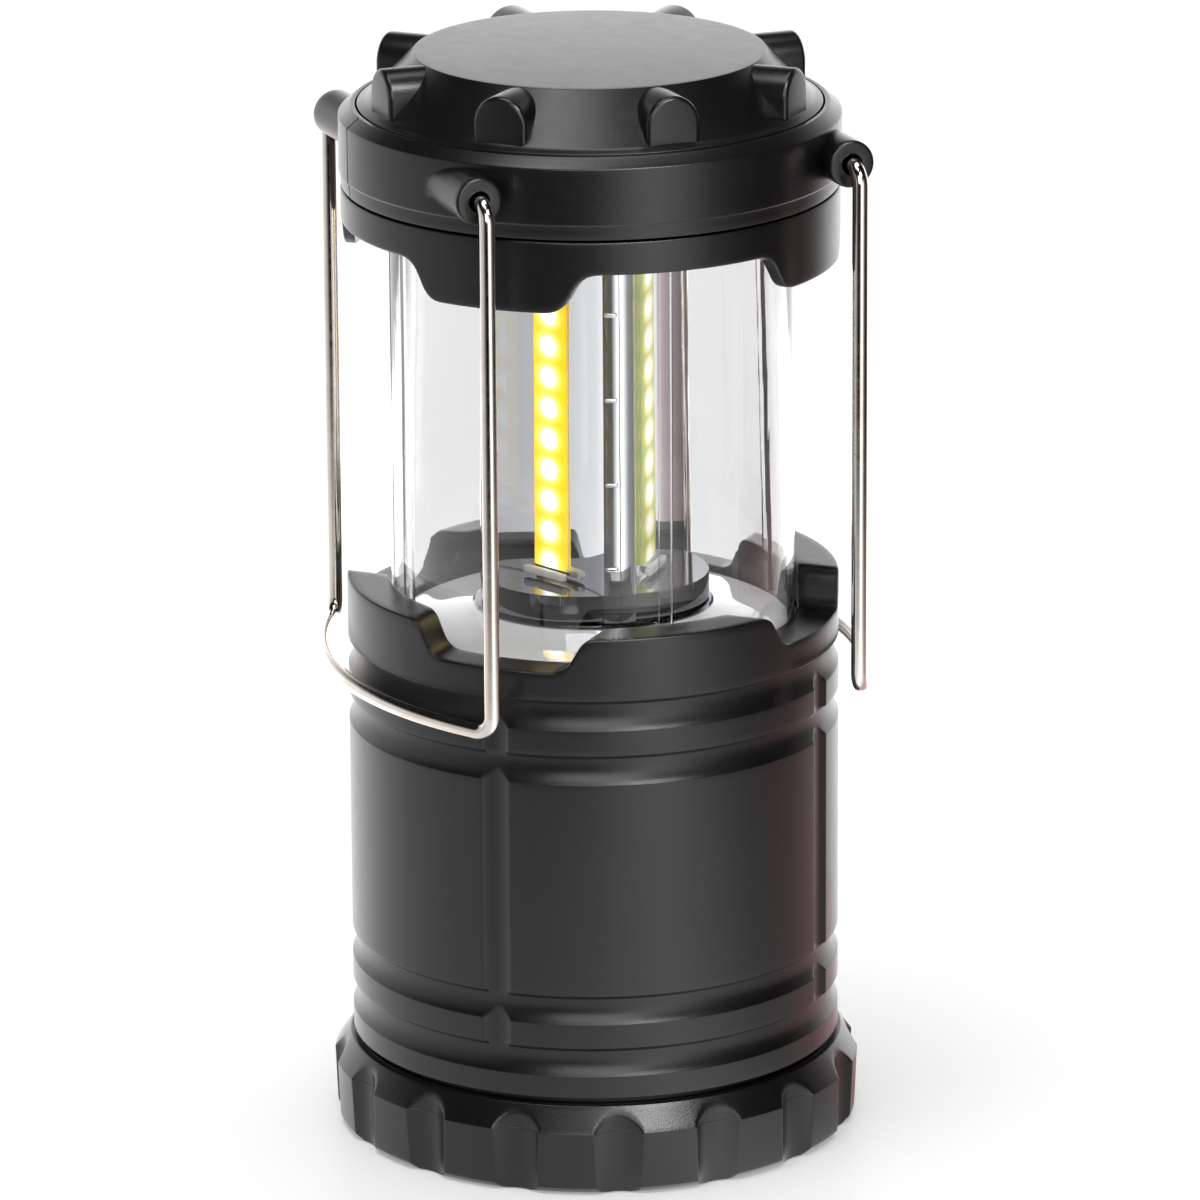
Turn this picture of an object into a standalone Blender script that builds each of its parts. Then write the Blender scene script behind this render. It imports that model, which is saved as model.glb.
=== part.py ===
"""Pop-up camping lantern.

A fixed body shell on a screw-on base, and a lamp head that slides up out of it. The lamp
head carries the clear lens, a three-sided chrome reflector column with a light strip in each
side, the battery tube inside that column, the driver board, the cap and two wire handles.
Metres, +Z up, origin at the middle of the base's underside, front towards -Y, drawn with the
lamp head pulled out.
"""
import math

import bmesh
import bpy
from mathutils import Matrix, Vector

MM = 0.001

# ---------------------------------------------------------------- driving dimensions (mm)
RING_STEPS = 40            # facets round the large turned parts
BASE_STEPS = 64
SMALL_STEPS = 16           # facets round screws, cells and pins
HOLE_STEPS = 12            # facets round small holes
FLUTE_STEPS = 26
GAP = 0.3                  # clearance left between touching pieces
OVERCUT = 3.0              # how far a cutter runs past what it cuts

BODY_R = 41.2              # outside of the body shell
BORE_R = 38.0              # bore that the slide carrier runs in
LIP_R = 34.3               # opening in the top of the body shell
RIM_Z = 95.3               # top of the rim
LIP_Z = 88.0               # underside of the lip that stops the carrier
SPIGOT_R = 39.9            # spigot that the base screws onto
SPIGOT_Z = 6.5
NECK_Z = 15.7              # shoulder above the base
GROOVE_DEPTH = 0.95
GROOVES = ((84.8, 79.6), (75.4, 70.3), (33.7, 28.7), (24.6, 19.6))   # top and bottom of each
NOTCH_Z = 89.4             # floor of the four notches in the rim
NOTCH_TOP_HALF = 17.6      # half widths of a notch at the rim and at its floor
NOTCH_FLOOR_HALF = 10.6
BODY_FLUTE_R = 4.4         # upright flutes across the bands of the body
BODY_FLUTE_DEPTH = 0.85
BODY_FLUTE_Z = (23.0, 83.2)
BODY_EDGE = 0.4            # chamfer round the outside of the rim

BASE_R = 44.5              # widest radius of the base, at the foot of its chamfer
BASE_WIDE_Z = 10.6
BASE_TOP_R = 41.7
BASE_TOP_Z = 14.7
BASE_FLOOR_Z = 3.5
BASE_BORE_R = 40.3
BASE_RECESS_R = 34.0       # shallow recess inside the ring that the lantern stands on
BASE_RECESS_Z = 1.0
BASE_FOOT_EDGE = 1.4       # slope at the foot of the base's side
BASE_FLUTES = 16
BASE_FLUTE_R = 5.8
BASE_FLUTE_DEPTH = 1.9
BASE_FLUTE_PHASE = math.radians(5.8)
GASKET_R = (37.2, 39.9)
GASKET_Z = (3.9, 6.1)

LENS_R = 33.8
LENS_WALL = 1.5
LENS_Z = (83.3, 160.2)
LENS_RIB_WIDTH = 2.2
LENS_RIB_IN = 1.1          # how far a rib stands in from the lens wall
LENS_RIB_ROOT = 0.6        # how far a rib reaches into the wall
LENS_RIB_TOP_Z = 158.4

CARRIER_R = 37.6
CARRIER_Z = (80.0, 87.6)
CARRIER_WEB_Z = 83.0
CARRIER_HOLE_R = 16.8      # hole in the carrier's web round the battery tube
CARRIER_GROOVE_Z = (83.6, 85.4)
CARRIER_GROOVE_DEPTH = 1.4
FRICTION_RING_Z = (83.9, 85.1)
FRICTION_RING_DEPTH = 1.1

FLOOR_Z = 89.0             # mirror floor of the light chamber
FLOOR_WALL = 1.3
FLOOR_HOLE_R = 13.3        # hole in the mirror floor round the battery tube
COLUMN_BASE_Z = 91.8       # raised disc that the column stands on
COLUMN_R = 19.4            # reach of the column's fins
COLUMN_TOP_Z = 163.0
CEILING_Z = (159.0, 160.2)
CEILING_HOLE_R = 20.0
TIP_R = 18.9               # edges of the troughs, each TIP_ANGLE from the trough's middle
TIP_ANGLE = math.radians(52)
TROUGH_APOTHEM = 9.1       # mirror surface at the middle of a trough
TROUGH_WALL = 0.6
BACK_INSET = 1.6           # how much narrower a trough's back is than its face, at each edge
FOOT_Z = 96.5              # top of the ledge at the foot of each trough
FOOT_INSET = (0.5, 0.55)   # how far the ledge's corners stay inside the trough's edges
WINDOW_Z = (97.6, 164.0)   # window in a trough for its light board, open at the top
WINDOW_REACH = (7.6, 13.6)
LIGHT_TOP_Z = 161.0
WINDOW_HALF = 4.25
BOARD_HALF = 3.95
BOARD_APOTHEM = (8.6, 9.1)
STRIP_HALF = 3.75
STRIP_APOTHEM = (9.4, 9.9)
STRIP_LEAD_R = 0.45
COLUMN_TURN = -8           # turn of the column from the front, in degrees
TROUGH_ANGLES = tuple(math.radians(COLUMN_TURN + turn) for turn in (-60, 60, 180))

CELL_R = 5.25              # AAA cell
CELL_LEN = 44.5
CELL_RING_R = 6.25         # distance of each cell's axis from the lantern's axis
CELL_ANGLES = tuple(math.radians(COLUMN_TURN + turn) for turn in (0, 120, -120))
CELL_LOW = 72.2            # negative end of the cells that stand nub upwards
LINK_CELL_LOW = 68.9       # nub end of the cell that stands nub downwards
CELL_NUB = (1.9, 0.9)      # radius and height of a cell's positive nub
TUBE_BORE_R = 5.55         # rounding of the tube's bore and outside round each cell
TUBE_OUT_R = 6.5
TUBE_Z = (69.0, 118.8)
TUBE_ROOF_Z = 117.6
TUBE_FLAT = 8.2            # flats that leave the sleeve as three corner posts inside the column
TUBE_FLAT_Z = 88.0
TUBE_FLAT_SIZE = (20.0, 6.0)
SOCKET_R = 16.3            # round socket for the battery door
SOCKET_BORE_R = 14.1
SOCKET_Z = 65.6
BAYONET_R = 15.2           # groove that the door's lugs turn in
BAYONET_Z = (66.9, 68.5)
SLEEVE_HOLE_R = 9.0        # opening from the socket up into the sleeve
FLANGE_R = 24.0
FLANGE_Z = (78.0, 79.7)
DOOR_R = 13.8
DOOR_Z = (66.0, 68.0)
LUG_SIZE = (3.6, 2.0, 0.7)
LUG_Z = 67.6
LUG_ENTRY_SIZE = (4.6, 2.0, 2.2)
LUG_ENTRY_R = 14.6
LOCK_TURN = math.radians(30)
COIN_SLOT_SIZE = (15.0, 2.0, 1.6)
CONTACT_T = 0.3            # thickness of the contact plates
CONTACT_PAD_R = (2.6, 3.1) # round pads of the upper and of the door's plates
POSITIVE_HOLE_AT = 4.0     # where the positive lead leaves through the sleeve's roof
ROD_R = 0.55
SCREW_RING_R = 20.4        # screws from the tube's flange into the carrier
SCREW_HOLE_R = 1.6
SWITCH_R = 27.5            # limit switch, behind and to the right
SWITCH_ANGLE = CELL_ANGLES[1]
SWITCH_SIZE = (10.0, 6.4, 7.0)
SWITCH_Z = 76.2
SWITCH_BORE_R = 1.8
PLUNGER_TIP_Z = 64.2
LEAD_R = 0.7
LEAD_HOLE_R = 1.3
LEAD_HOLE_AT = 17.7        # where the switch lead passes the flange and the carrier
LEAD_FIN_AT = 15.3         # where it passes the mirror floor into a fin of the column

SKIRT_R = 41.4
SKIRT_IN_R = 39.4
SKIRT_TOP_Z = 162.1
SKIRT_EDGE_Z = 156.8       # edge between the lobes
LOBE_Z = 150.2             # bottom of the four lobes
LOBE_GAP_TOP_HALF = 14.2   # half widths of the space between lobes at its top and bottom
LOBE_GAP_FOOT_HALF = 21.8
SKIRT_HOLE_R = 20.0
SKIRT_STEP = (36.0, 164.3) # raised plate of the skirt inside the cap

COLLAR_R = 41.65
COLLAR_FOOT_R = 41.2
COLLAR_STEP_Z = (164.7, 165.0)
COLLAR_IN_R = 38.8
COLLAR_Z = (162.4, 174.25)
COLLAR_TOP_Z = 175.9
COLLAR_BEVEL = 2.1         # how far the bevel runs in from the collar's side
HINGE_X = 32.5             # handle hinges, axes along Y
HINGE_Z = 169.5
BOSS_ROOT_Y = 18.0
BOSS_FACE_Y = 34.0
BOSS_R = 3.9
BOSS_HOLE_R = 1.65
BOSS_HOLE_FLOOR_Y = 28.0

WIRE_R = 1.3
LEG_Y = 37.3
WIRE_END_Y = 28.6
HANDLE_FOOT_Z = 81.0
HANDLE_BOW_X = 44.0
CORNER_R = 3.0

CAP_R = 38.5
CAP_LEDGE_Z = 176.0
CONE_FOOT = (37.3, 176.45)
DISK_R = 29.1
DISK_Z = 184.7
CROWN_Z = 184.9
CAP_WALL = 2.0
KNOB_ROOT_R = 24.0
KNOB_FACE_R = 36.9
KNOB_HALF = 4.65
KNOB_TOP_Z = 184.45
KNOBS = 8
PILLAR_R = 3.2
PILLAR_Z = (164.6, 181.8)
PILLAR_BORE = (1.55, 171.5)   # radius and upper end of the bore for a cap screw
PILLAR_RING_R = 28.0
PILLAR_ANGLES = (math.radians(30), math.radians(150), math.radians(270))
BOARD_R = 24.0
BOARD_Z = (164.6, 165.8)

SCREW_HEAD_R = 2.3
SCREW_R = 1.25
SCREW_TIP = (0.5, 1.2)     # radius and length of a screw's point
SCREW_RECESS = (0.9, 0.8)  # radius and depth of the driver recess

# ---------------------------------------------------------------- materials
LOOKS = {
    "black_plastic": ((0.012, 0.012, 0.013), 0.42, 0.0),
    "rubber": ((0.015, 0.015, 0.015), 0.8, 0.0),
    "chrome": ((0.86, 0.87, 0.88), 0.06, 1.0),
    "nickel_wire": ((0.72, 0.68, 0.63), 0.22, 1.0),
    "clear_lens": ((0.92, 0.94, 0.95), 0.04, 0.0),
    "white_board": ((0.85, 0.85, 0.82), 0.5, 0.0),
    "phosphor": ((0.95, 0.85, 0.12), 0.45, 0.0),
    "cell_wrap": ((0.05, 0.09, 0.16), 0.35, 0.0),
    "spring_steel": ((0.75, 0.74, 0.72), 0.28, 1.0),
    "zinc_screw": ((0.7, 0.7, 0.68), 0.3, 1.0),
    "green_board": ((0.02, 0.16, 0.07), 0.4, 0.0),
    "part_black": ((0.02, 0.02, 0.02), 0.5, 0.0),
    "red_lead": ((0.6, 0.03, 0.02), 0.45, 0.0),
    "black_lead": ((0.02, 0.02, 0.02), 0.45, 0.0),
    "brass": ((0.75, 0.6, 0.3), 0.3, 1.0),
}


def make_material(name):
    colour, roughness, metallic = LOOKS[name]
    material = bpy.data.materials.new(name)
    material.use_nodes = True
    shader = material.node_tree.nodes["Principled BSDF"]
    shader.inputs["Base Color"].default_value = (*colour, 1.0)
    shader.inputs["Roughness"].default_value = roughness
    shader.inputs["Metallic"].default_value = metallic
    return material


# ---------------------------------------------------------------- scene set-up
for old in list(bpy.data.objects):
    bpy.data.objects.remove(old, do_unlink=True)

LANTERN = bpy.data.collections.new("camping_lantern")
TOOLS = bpy.data.collections.new("cutters")
for group in (LANTERN, TOOLS):
    bpy.context.scene.collection.children.link(group)
MATERIALS = {name: make_material(name) for name in LOOKS}


def empty(name, location):
    """A named origin that a moving group hangs from."""
    holder = bpy.data.objects.new(name, None)
    holder.location = Vector(location) * MM
    LANTERN.objects.link(holder)
    return holder


HEAD = empty("lamp_head_origin", (0, 0, 0))
BASE = empty("base_origin", (0, 0, 0))
DOOR = empty("door_origin", (0, 0, DOOR_Z[0]))


# ---------------------------------------------------------------- modelling helpers
def finish(obj, look, parent=None):
    """Give a piece its material, smooth shading and collection."""
    if look is None:
        TOOLS.objects.link(obj)
        obj.hide_render = True
        obj.display_type = 'WIRE'
        return obj
    LANTERN.objects.link(obj)
    obj.data.materials.append(MATERIALS[look])
    if obj.type == 'MESH':
        obj.data.shade_smooth()
        obj.data.set_sharp_from_angle(angle=math.radians(35))
    if parent:
        obj.parent = parent
        obj.matrix_parent_inverse = Matrix.Translation(-parent.location)
    return obj


def arc(centre, radius, start, end, steps):
    """Points on an arc, angles in radians from the first axis."""
    return [(centre[0] + radius * math.cos(start + (end - start) * i / steps),
             centre[1] + radius * math.sin(start + (end - start) * i / steps))
            for i in range(steps + 1)]


def arc_through(left, right, apex):
    """Arc from left to right, two points with the same first value, past apex on the axis."""
    rise = apex - left[0]
    half = abs(left[1])
    radius = (half * half + rise * rise) / (2 * rise)
    centre = apex - radius
    reach = math.atan2(half, left[0] - centre) if radius > 0 else math.atan2(half, centre - left[0])
    steps = 8
    points = []
    for i in range(steps + 1):
        angle = -reach + 2 * reach * i / steps
        points.append((centre + radius * math.cos(angle), abs(radius) * math.sin(angle)))
    return points if left[1] < right[1] else points[::-1]


def direction(angle):
    """Unit vector at an angle from the front (-Y), turning towards +X."""
    return Vector((math.sin(angle), -math.cos(angle), 0.0))


def turned(name, profile, look, parent=None, steps=RING_STEPS, at=(0, 0, 0)):
    """Turn an (r, z) profile round Z. It runs down the outer side; a ring's profile is closed."""
    closed = all(radius > 1e-6 for radius, _ in profile)
    mesh = bpy.data.meshes.new(name)
    verts = [(radius * MM, 0, height * MM) for radius, height in profile]
    edges = [(i, i + 1) for i in range(len(verts) - 1)]
    if closed:
        edges.append((len(verts) - 1, 0))
    mesh.from_pydata(verts, edges, [])
    obj = bpy.data.objects.new(name, mesh)
    obj.location = Vector(at) * MM
    screw = obj.modifiers.new("turn", 'SCREW')
    screw.steps = steps
    screw.render_steps = steps
    screw.use_merge_vertices = True
    screw.merge_threshold = 1e-6
    return finish(obj, look, parent)


def ring_profile(radii, heights):
    """Square-sided ring between two radii and two heights."""
    return [(radii[0], heights[1]), (radii[1], heights[1]), (radii[1], heights[0]),
            (radii[0], heights[0])]


def as_mesh(curve_object, name):
    """Turn a curve object into a closed mesh in world space."""
    bpy.context.scene.collection.objects.link(curve_object)
    bpy.context.view_layer.update()
    graph = bpy.context.evaluated_depsgraph_get()
    mesh = bpy.data.meshes.new_from_object(curve_object.evaluated_get(graph))
    mesh.transform(curve_object.matrix_world)
    work = bmesh.new()
    work.from_mesh(mesh)
    bmesh.ops.remove_doubles(work, verts=work.verts, dist=1e-6)
    bmesh.ops.recalc_face_normals(work, faces=work.faces)
    work.to_mesh(mesh)
    work.free()
    bpy.data.objects.remove(curve_object, do_unlink=True)
    obj = bpy.data.objects.new(name, mesh)
    return obj


def prism(name, outlines, low, high, look, parent=None, matrix=None):
    """Extrude flat outlines (the first outside, the others holes) from low to high.

    The outline lies in the local XY plane and the extrusion along local Z.
    """
    curve = bpy.data.curves.new(name + "_outline", 'CURVE')
    curve.dimensions = '2D'
    curve.fill_mode = 'BOTH'
    curve.extrude = (high - low) / 2 * MM
    for outline in outlines:
        spline = curve.splines.new('POLY')
        spline.points.add(len(outline) - 1)
        for point, (x, y) in zip(spline.points, outline):
            point.co = (x * MM, y * MM, 0, 1)
        spline.use_cyclic_u = True
    holder = bpy.data.objects.new(name + "_curve", curve)
    place = Matrix.Translation((0, 0, (low + high) / 2 * MM))
    holder.matrix_world = (matrix or Matrix.Identity(4)) @ place
    return finish(as_mesh(holder, name), look, parent)


def radial(angle):
    """Frame whose local Z runs outwards at angle, local X sideways and local Y up."""
    out = direction(angle)
    up = Vector((0, 0, 1))
    side = up.cross(out)
    return Matrix((side, up, out)).transposed().to_4x4()


def trough_frame(angle):
    """Frame whose local X runs outwards at angle, local Y sideways and local Z up."""
    out = direction(angle)
    up = Vector((0, 0, 1))
    return Matrix((out, up.cross(out), up)).transposed().to_4x4()


def box(name, size, centre, look, parent=None, angle=0.0, bevel=0.0):
    """A box with its sides turned by angle about Z and its edges bevelled."""
    mesh = bpy.data.meshes.new(name)
    work = bmesh.new()
    bmesh.ops.create_cube(work, size=1.0)
    bmesh.ops.scale(work, vec=Vector(size) * MM, verts=work.verts)
    if bevel:
        bmesh.ops.bevel(work, geom=work.edges[:], offset=bevel * MM, segments=1, affect='EDGES')
    work.to_mesh(mesh)
    work.free()
    obj = bpy.data.objects.new(name, mesh)
    obj.matrix_world = Matrix.Translation(Vector(centre) * MM) @ Matrix.Rotation(angle, 4, 'Z')
    return finish(obj, look, parent)


def cylinder(name, radius, low, high, centre, look, parent=None, steps=SMALL_STEPS, frame=None):
    """A plain cylinder between two heights along local Z."""
    mesh = bpy.data.meshes.new(name)
    work = bmesh.new()
    bmesh.ops.create_cone(work, cap_ends=True, segments=steps, radius1=radius * MM,
                          radius2=radius * MM, depth=(high - low) * MM)
    work.to_mesh(mesh)
    work.free()
    obj = bpy.data.objects.new(name, mesh)
    middle = Matrix.Translation((centre[0] * MM, centre[1] * MM, (low + high) / 2 * MM))
    obj.matrix_world = (frame or Matrix.Identity(4)) @ middle
    return finish(obj, look, parent)


def boolean(obj, operand, operation):
    """Join, cut or trim a piece with another solid."""
    modifier = obj.modifiers.new(operation.lower(), 'BOOLEAN')
    modifier.object = operand
    modifier.operation = operation
    modifier.solver = 'EXACT'


def gathered(name, pieces):
    """Put separate solids into one operand object."""
    work = bmesh.new()
    for piece in pieces:
        copy = piece.data.copy()
        copy.transform(piece.matrix_basis)
        work.from_mesh(copy)
        bpy.data.objects.remove(piece, do_unlink=True)
    mesh = bpy.data.meshes.new(name)
    work.to_mesh(mesh)
    work.free()
    return finish(bpy.data.objects.new(name, mesh), None)


def wire(name, points, radius, look, parent=None, sides=2, origin=(0, 0, 0)):
    """A round wire with filled ends through the points, as a POLY curve."""
    curve = bpy.data.curves.new(name, 'CURVE')
    curve.dimensions = '3D'
    curve.bevel_depth = radius * MM
    curve.bevel_resolution = sides
    curve.use_fill_caps = True
    spline = curve.splines.new('POLY')
    spline.points.add(len(points) - 1)
    for point, place in zip(spline.points, points):
        point.co = (*((Vector(place) - Vector(origin)) * MM), 1)
    obj = bpy.data.objects.new(name, curve)
    obj.location = Vector(origin) * MM
    return finish(obj, look, parent)


def ease(low, high, steps):
    """Heights of an S-shaped rise from low to high, as (share, height)."""
    return [(i / steps, low + (high - low) * (1 - math.cos(math.pi * i / steps)) / 2)
            for i in range(steps + 1)]


# ---------------------------------------------------------------- body shell
def groove_points(top, bottom):
    """A slanted step in under top, then a hollow that sweeps out to a crisp edge at bottom."""
    start = top - GROOVE_DEPTH
    points = [(BODY_R, top)]
    for turn in (0, 40, 68, 90):
        angle = math.radians(turn)
        points.append((BODY_R - GROOVE_DEPTH * math.cos(angle),
                       start - (start - bottom) * math.sin(angle)))
    return points


def body_profile():
    profile = [(LIP_R, RIM_Z), (BODY_R - BODY_EDGE, RIM_Z), (BODY_R, RIM_Z - BODY_EDGE)]
    for top, bottom in GROOVES:
        profile += groove_points(top, bottom)
    profile += [(BODY_R, NECK_Z), (SPIGOT_R, NECK_Z), (SPIGOT_R, SPIGOT_Z),
                (BORE_R, SPIGOT_Z), (BORE_R, LIP_Z), (LIP_R, LIP_Z)]
    return profile


def notch_outline():
    """Sideways and height outline of a notch, open upwards, with S-shaped flanks."""
    above = RIM_Z + OVERCUT
    flank = []
    for share, height in ease(NOTCH_Z, RIM_Z, 6):
        flank.append((NOTCH_FLOOR_HALF + (NOTCH_TOP_HALF - NOTCH_FLOOR_HALF) * share, height))
    right = flank + [(NOTCH_TOP_HALF, above)]
    left = [(-x, z) for x, z in reversed(right)]
    return left + right


QUARTERS = [math.radians(45 + 90 * i) for i in range(4)]


def make_body():
    body = turned("body_shell", body_profile(), "black_plastic")
    inside, outside = LIP_R - 2 * OVERCUT, BODY_R + OVERCUT
    notches = [prism(f"notch_{i}", [notch_outline()], inside, outside, None, matrix=radial(angle))
               for i, angle in enumerate(QUARTERS)]
    boolean(body, gathered("notch_cutter", notches), 'DIFFERENCE')
    reach = BODY_R - BODY_FLUTE_DEPTH + BODY_FLUTE_R
    flutes = [cylinder(f"body_flute_{i}", BODY_FLUTE_R, *BODY_FLUTE_Z, direction(angle) * reach,
                       None, steps=FLUTE_STEPS) for i, angle in enumerate(QUARTERS)]
    boolean(body, gathered("body_flute_cutter", flutes), 'DIFFERENCE')


def make_base():
    profile = [(0, BASE_FLOOR_Z), (BASE_BORE_R, BASE_FLOOR_Z), (BASE_BORE_R, BASE_TOP_Z),
               (BASE_TOP_R, BASE_TOP_Z), (BASE_R, BASE_WIDE_Z), (BASE_R - 0.5, BASE_RECESS_Z),
               (BASE_R - BASE_FOOT_EDGE, 0), (BASE_RECESS_R, 0),
               (BASE_RECESS_R - 0.8, BASE_RECESS_Z), (0, BASE_RECESS_Z)]
    base = turned("base_cap", profile, "black_plastic", BASE, steps=BASE_STEPS)
    reach = BASE_R - BASE_FLUTE_DEPTH + BASE_FLUTE_R
    flutes = []
    for i in range(BASE_FLUTES):
        angle = BASE_FLUTE_PHASE + i * 2 * math.pi / BASE_FLUTES
        flutes.append(cylinder(f"base_flute_{i}", BASE_FLUTE_R, -OVERCUT, BASE_TOP_Z + OVERCUT,
                               direction(angle) * reach, None, steps=FLUTE_STEPS))
    boolean(base, gathered("base_flute_cutter", flutes), 'DIFFERENCE')
    turned("base_gasket", ring_profile(GASKET_R, GASKET_Z), "rubber", BASE)


# ---------------------------------------------------------------- slide carrier and chamber
def make_carrier():
    cup_r = LENS_R + 0.4
    groove_r = CARRIER_R - CARRIER_GROOVE_DEPTH
    groove_low, groove_high = CARRIER_GROOVE_Z
    low, high = CARRIER_Z
    profile = [(cup_r, high), (CARRIER_R, high), (CARRIER_R, groove_high),
               (groove_r, groove_high), (groove_r, groove_low), (CARRIER_R, groove_low),
               (CARRIER_R, low), (CARRIER_HOLE_R, low), (CARRIER_HOLE_R, CARRIER_WEB_Z),
               (cup_r, CARRIER_WEB_Z)]
    carrier = turned("slide_carrier", profile, "black_plastic", HEAD)
    span = (low - OVERCUT, CARRIER_WEB_Z + OVERCUT)
    holes = [cylinder(f"carrier_hole_{i}", SCREW_HOLE_R, *span, direction(angle) * SCREW_RING_R,
                      None, steps=HOLE_STEPS) for i, angle in enumerate(PILLAR_ANGLES)]
    holes.append(cylinder("carrier_lead_hole", LEAD_HOLE_R, *span,
                          direction(SWITCH_ANGLE) * LEAD_HOLE_AT, None, steps=HOLE_STEPS))
    boolean(carrier, gathered("carrier_holes", holes), 'DIFFERENCE')
    radii = (CARRIER_R - FRICTION_RING_DEPTH, BORE_R - GAP)
    turned("slide_friction_ring", ring_profile(radii, FRICTION_RING_Z), "rubber", HEAD)


def make_lens():
    inner = LENS_R - LENS_WALL
    lens = turned("lens", ring_profile((inner, LENS_R), LENS_Z), "clear_lens", HEAD)
    ribs = []
    depth = LENS_RIB_IN + LENS_RIB_ROOT
    low = FLOOR_Z + 2 * GAP
    for i in range(4):
        angle = i * math.pi / 2
        centre = direction(angle) * (inner - LENS_RIB_IN + depth / 2)
        centre.z = (low + LENS_RIB_TOP_Z) / 2
        size = (LENS_RIB_WIDTH, depth, LENS_RIB_TOP_Z - low)
        ribs.append(box(f"rib_{i}", size, centre, None, angle=angle))
    boolean(lens, gathered("lens_ribs", ribs), 'UNION')


def make_chamber_floor():
    outer = LENS_R - LENS_WALL - GAP
    inner = outer - FLOOR_WALL
    seat = CARRIER_WEB_Z + GAP
    profile = [(FLOOR_HOLE_R, COLUMN_BASE_Z), (COLUMN_R, COLUMN_BASE_Z), (COLUMN_R, FLOOR_Z),
               (outer, FLOOR_Z), (outer, seat), (inner, seat), (inner, FLOOR_Z - FLOOR_WALL),
               (FLOOR_HOLE_R, FLOOR_Z - FLOOR_WALL)]
    floor = turned("chamber_floor", profile, "chrome", HEAD)
    hole = cylinder("floor_lead_hole", LEAD_HOLE_R, FLOOR_Z - OVERCUT, COLUMN_BASE_Z + OVERCUT,
                    direction(SWITCH_ANGLE) * LEAD_FIN_AT, None, steps=HOLE_STEPS)
    boolean(floor, hole, 'DIFFERENCE')
    turned("chamber_ceiling", ring_profile((CEILING_HOLE_R, outer), CEILING_Z), "chrome", HEAD)


def trough_outline():
    """One third of the column's mirror skin, outer face then inner face, as (out, side)."""
    tip = (TIP_R * math.cos(TIP_ANGLE), TIP_R * math.sin(TIP_ANGLE))
    half_fin = math.pi / 3 - TIP_ANGLE
    rise = COLUMN_R - TIP_R * math.cos(half_fin)
    run = TIP_R * math.sin(half_fin)
    crown = (run * run + rise * rise) / (2 * rise)
    centre_r = COLUMN_R - crown
    sweep = math.asin(run / crown)
    seam = 0.2 / crown
    fin_centre = (centre_r * math.cos(math.pi / 3), centre_r * math.sin(math.pi / 3))
    fin = arc(fin_centre, crown, math.pi / 3 - seam, math.pi / 3 - sweep, 4)
    thin = arc(fin_centre, crown - TROUGH_WALL, math.pi / 3 - seam, math.pi / 3 - sweep * 0.86, 3)
    face = arc_through((tip[0], tip[1]), (tip[0], -tip[1]), TROUGH_APOTHEM)
    scale = (tip[1] - BACK_INSET) / tip[1]
    back = [(x - TROUGH_WALL, y * scale) for x, y in face]
    lower_fin = [(x, -y) for x, y in reversed(fin)]
    lower_thin = [(x, -y) for x, y in reversed(thin)]
    return fin[:-1] + face + lower_fin[1:] + lower_thin[::-1] + back[::-1] + thin[::-1]


def foot_outline():
    """Eye-shaped ledge that fills the bottom of a trough, as (out, side)."""
    tip = (TIP_R * math.cos(TIP_ANGLE) - FOOT_INSET[0], TIP_R * math.sin(TIP_ANGLE) - FOOT_INSET[1])
    front = arc_through((tip[0], -tip[1]), (tip[0], tip[1]), COLUMN_R)
    back = arc_through((tip[0], tip[1]), (tip[0], -tip[1]), TROUGH_APOTHEM - TROUGH_WALL / 2)
    return front + back[1:-1]


def make_column():
    low = COLUMN_BASE_Z + GAP
    window_size = (WINDOW_HALF * 2, WINDOW_REACH[1] - WINDOW_REACH[0], WINDOW_Z[1] - WINDOW_Z[0])
    window_place = (sum(WINDOW_REACH) / 2, sum(WINDOW_Z) / 2)
    board_mid, board_t = middle_and_size(BOARD_APOTHEM)
    strip_mid, strip_t = middle_and_size(STRIP_APOTHEM)
    height = LIGHT_TOP_Z - WINDOW_Z[0] - GAP
    middle = Vector((0, 0, LIGHT_TOP_Z - height / 2))
    for i, angle in enumerate(TROUGH_ANGLES, start=1):
        frame = trough_frame(angle)
        skin = prism(f"reflector_{i}", [trough_outline()], low, COLUMN_TOP_Z, "chrome", HEAD, frame)
        foot = prism(f"foot_{i}", [foot_outline()], low + 0.2, FOOT_Z, None, matrix=frame)
        boolean(skin, foot, 'UNION')
        out = direction(angle)
        window = box(f"window_{i}", window_size,
                     out * window_place[0] + Vector((0, 0, window_place[1])), None, angle=angle)
        boolean(skin, window, 'DIFFERENCE')
        box(f"light_board_{i}", (BOARD_HALF * 2, board_t, height), out * board_mid + middle,
            "white_board", HEAD, angle)
        box(f"light_strip_{i}", (STRIP_HALF * 2, strip_t, height - 0.8), out * strip_mid + middle,
            "phosphor", HEAD, angle, bevel=0.15)
        start = out * board_mid + Vector((0, 0, LIGHT_TOP_Z + GAP))
        end = out * (board_mid - 1.6) + Vector((0, 0, BOARD_Z[0] - GAP))
        route = [start, start + Vector((0, 0, 0.8)), start.lerp(end, 0.6),
                 end - Vector((0, 0, 0.6)), end]
        wire(f"strip_lead_{i}", route, STRIP_LEAD_R, "red_lead", HEAD)


def middle_and_size(span):
    return (span[0] + span[1]) / 2, span[1] - span[0]


# ---------------------------------------------------------------- battery tube and its contents
def lobed_outline(radius, steps=6):
    """Rounded triangle: an arc of the given radius round each cell's axis, as (x, y)."""
    points = []
    for angle in sorted(CELL_ANGLES):
        out = direction(angle)
        heading = math.atan2(out.y, out.x)
        points += arc((out.x * CELL_RING_R, out.y * CELL_RING_R), radius,
                      heading - math.pi / 3, heading + math.pi / 3, steps)
    return points


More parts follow.
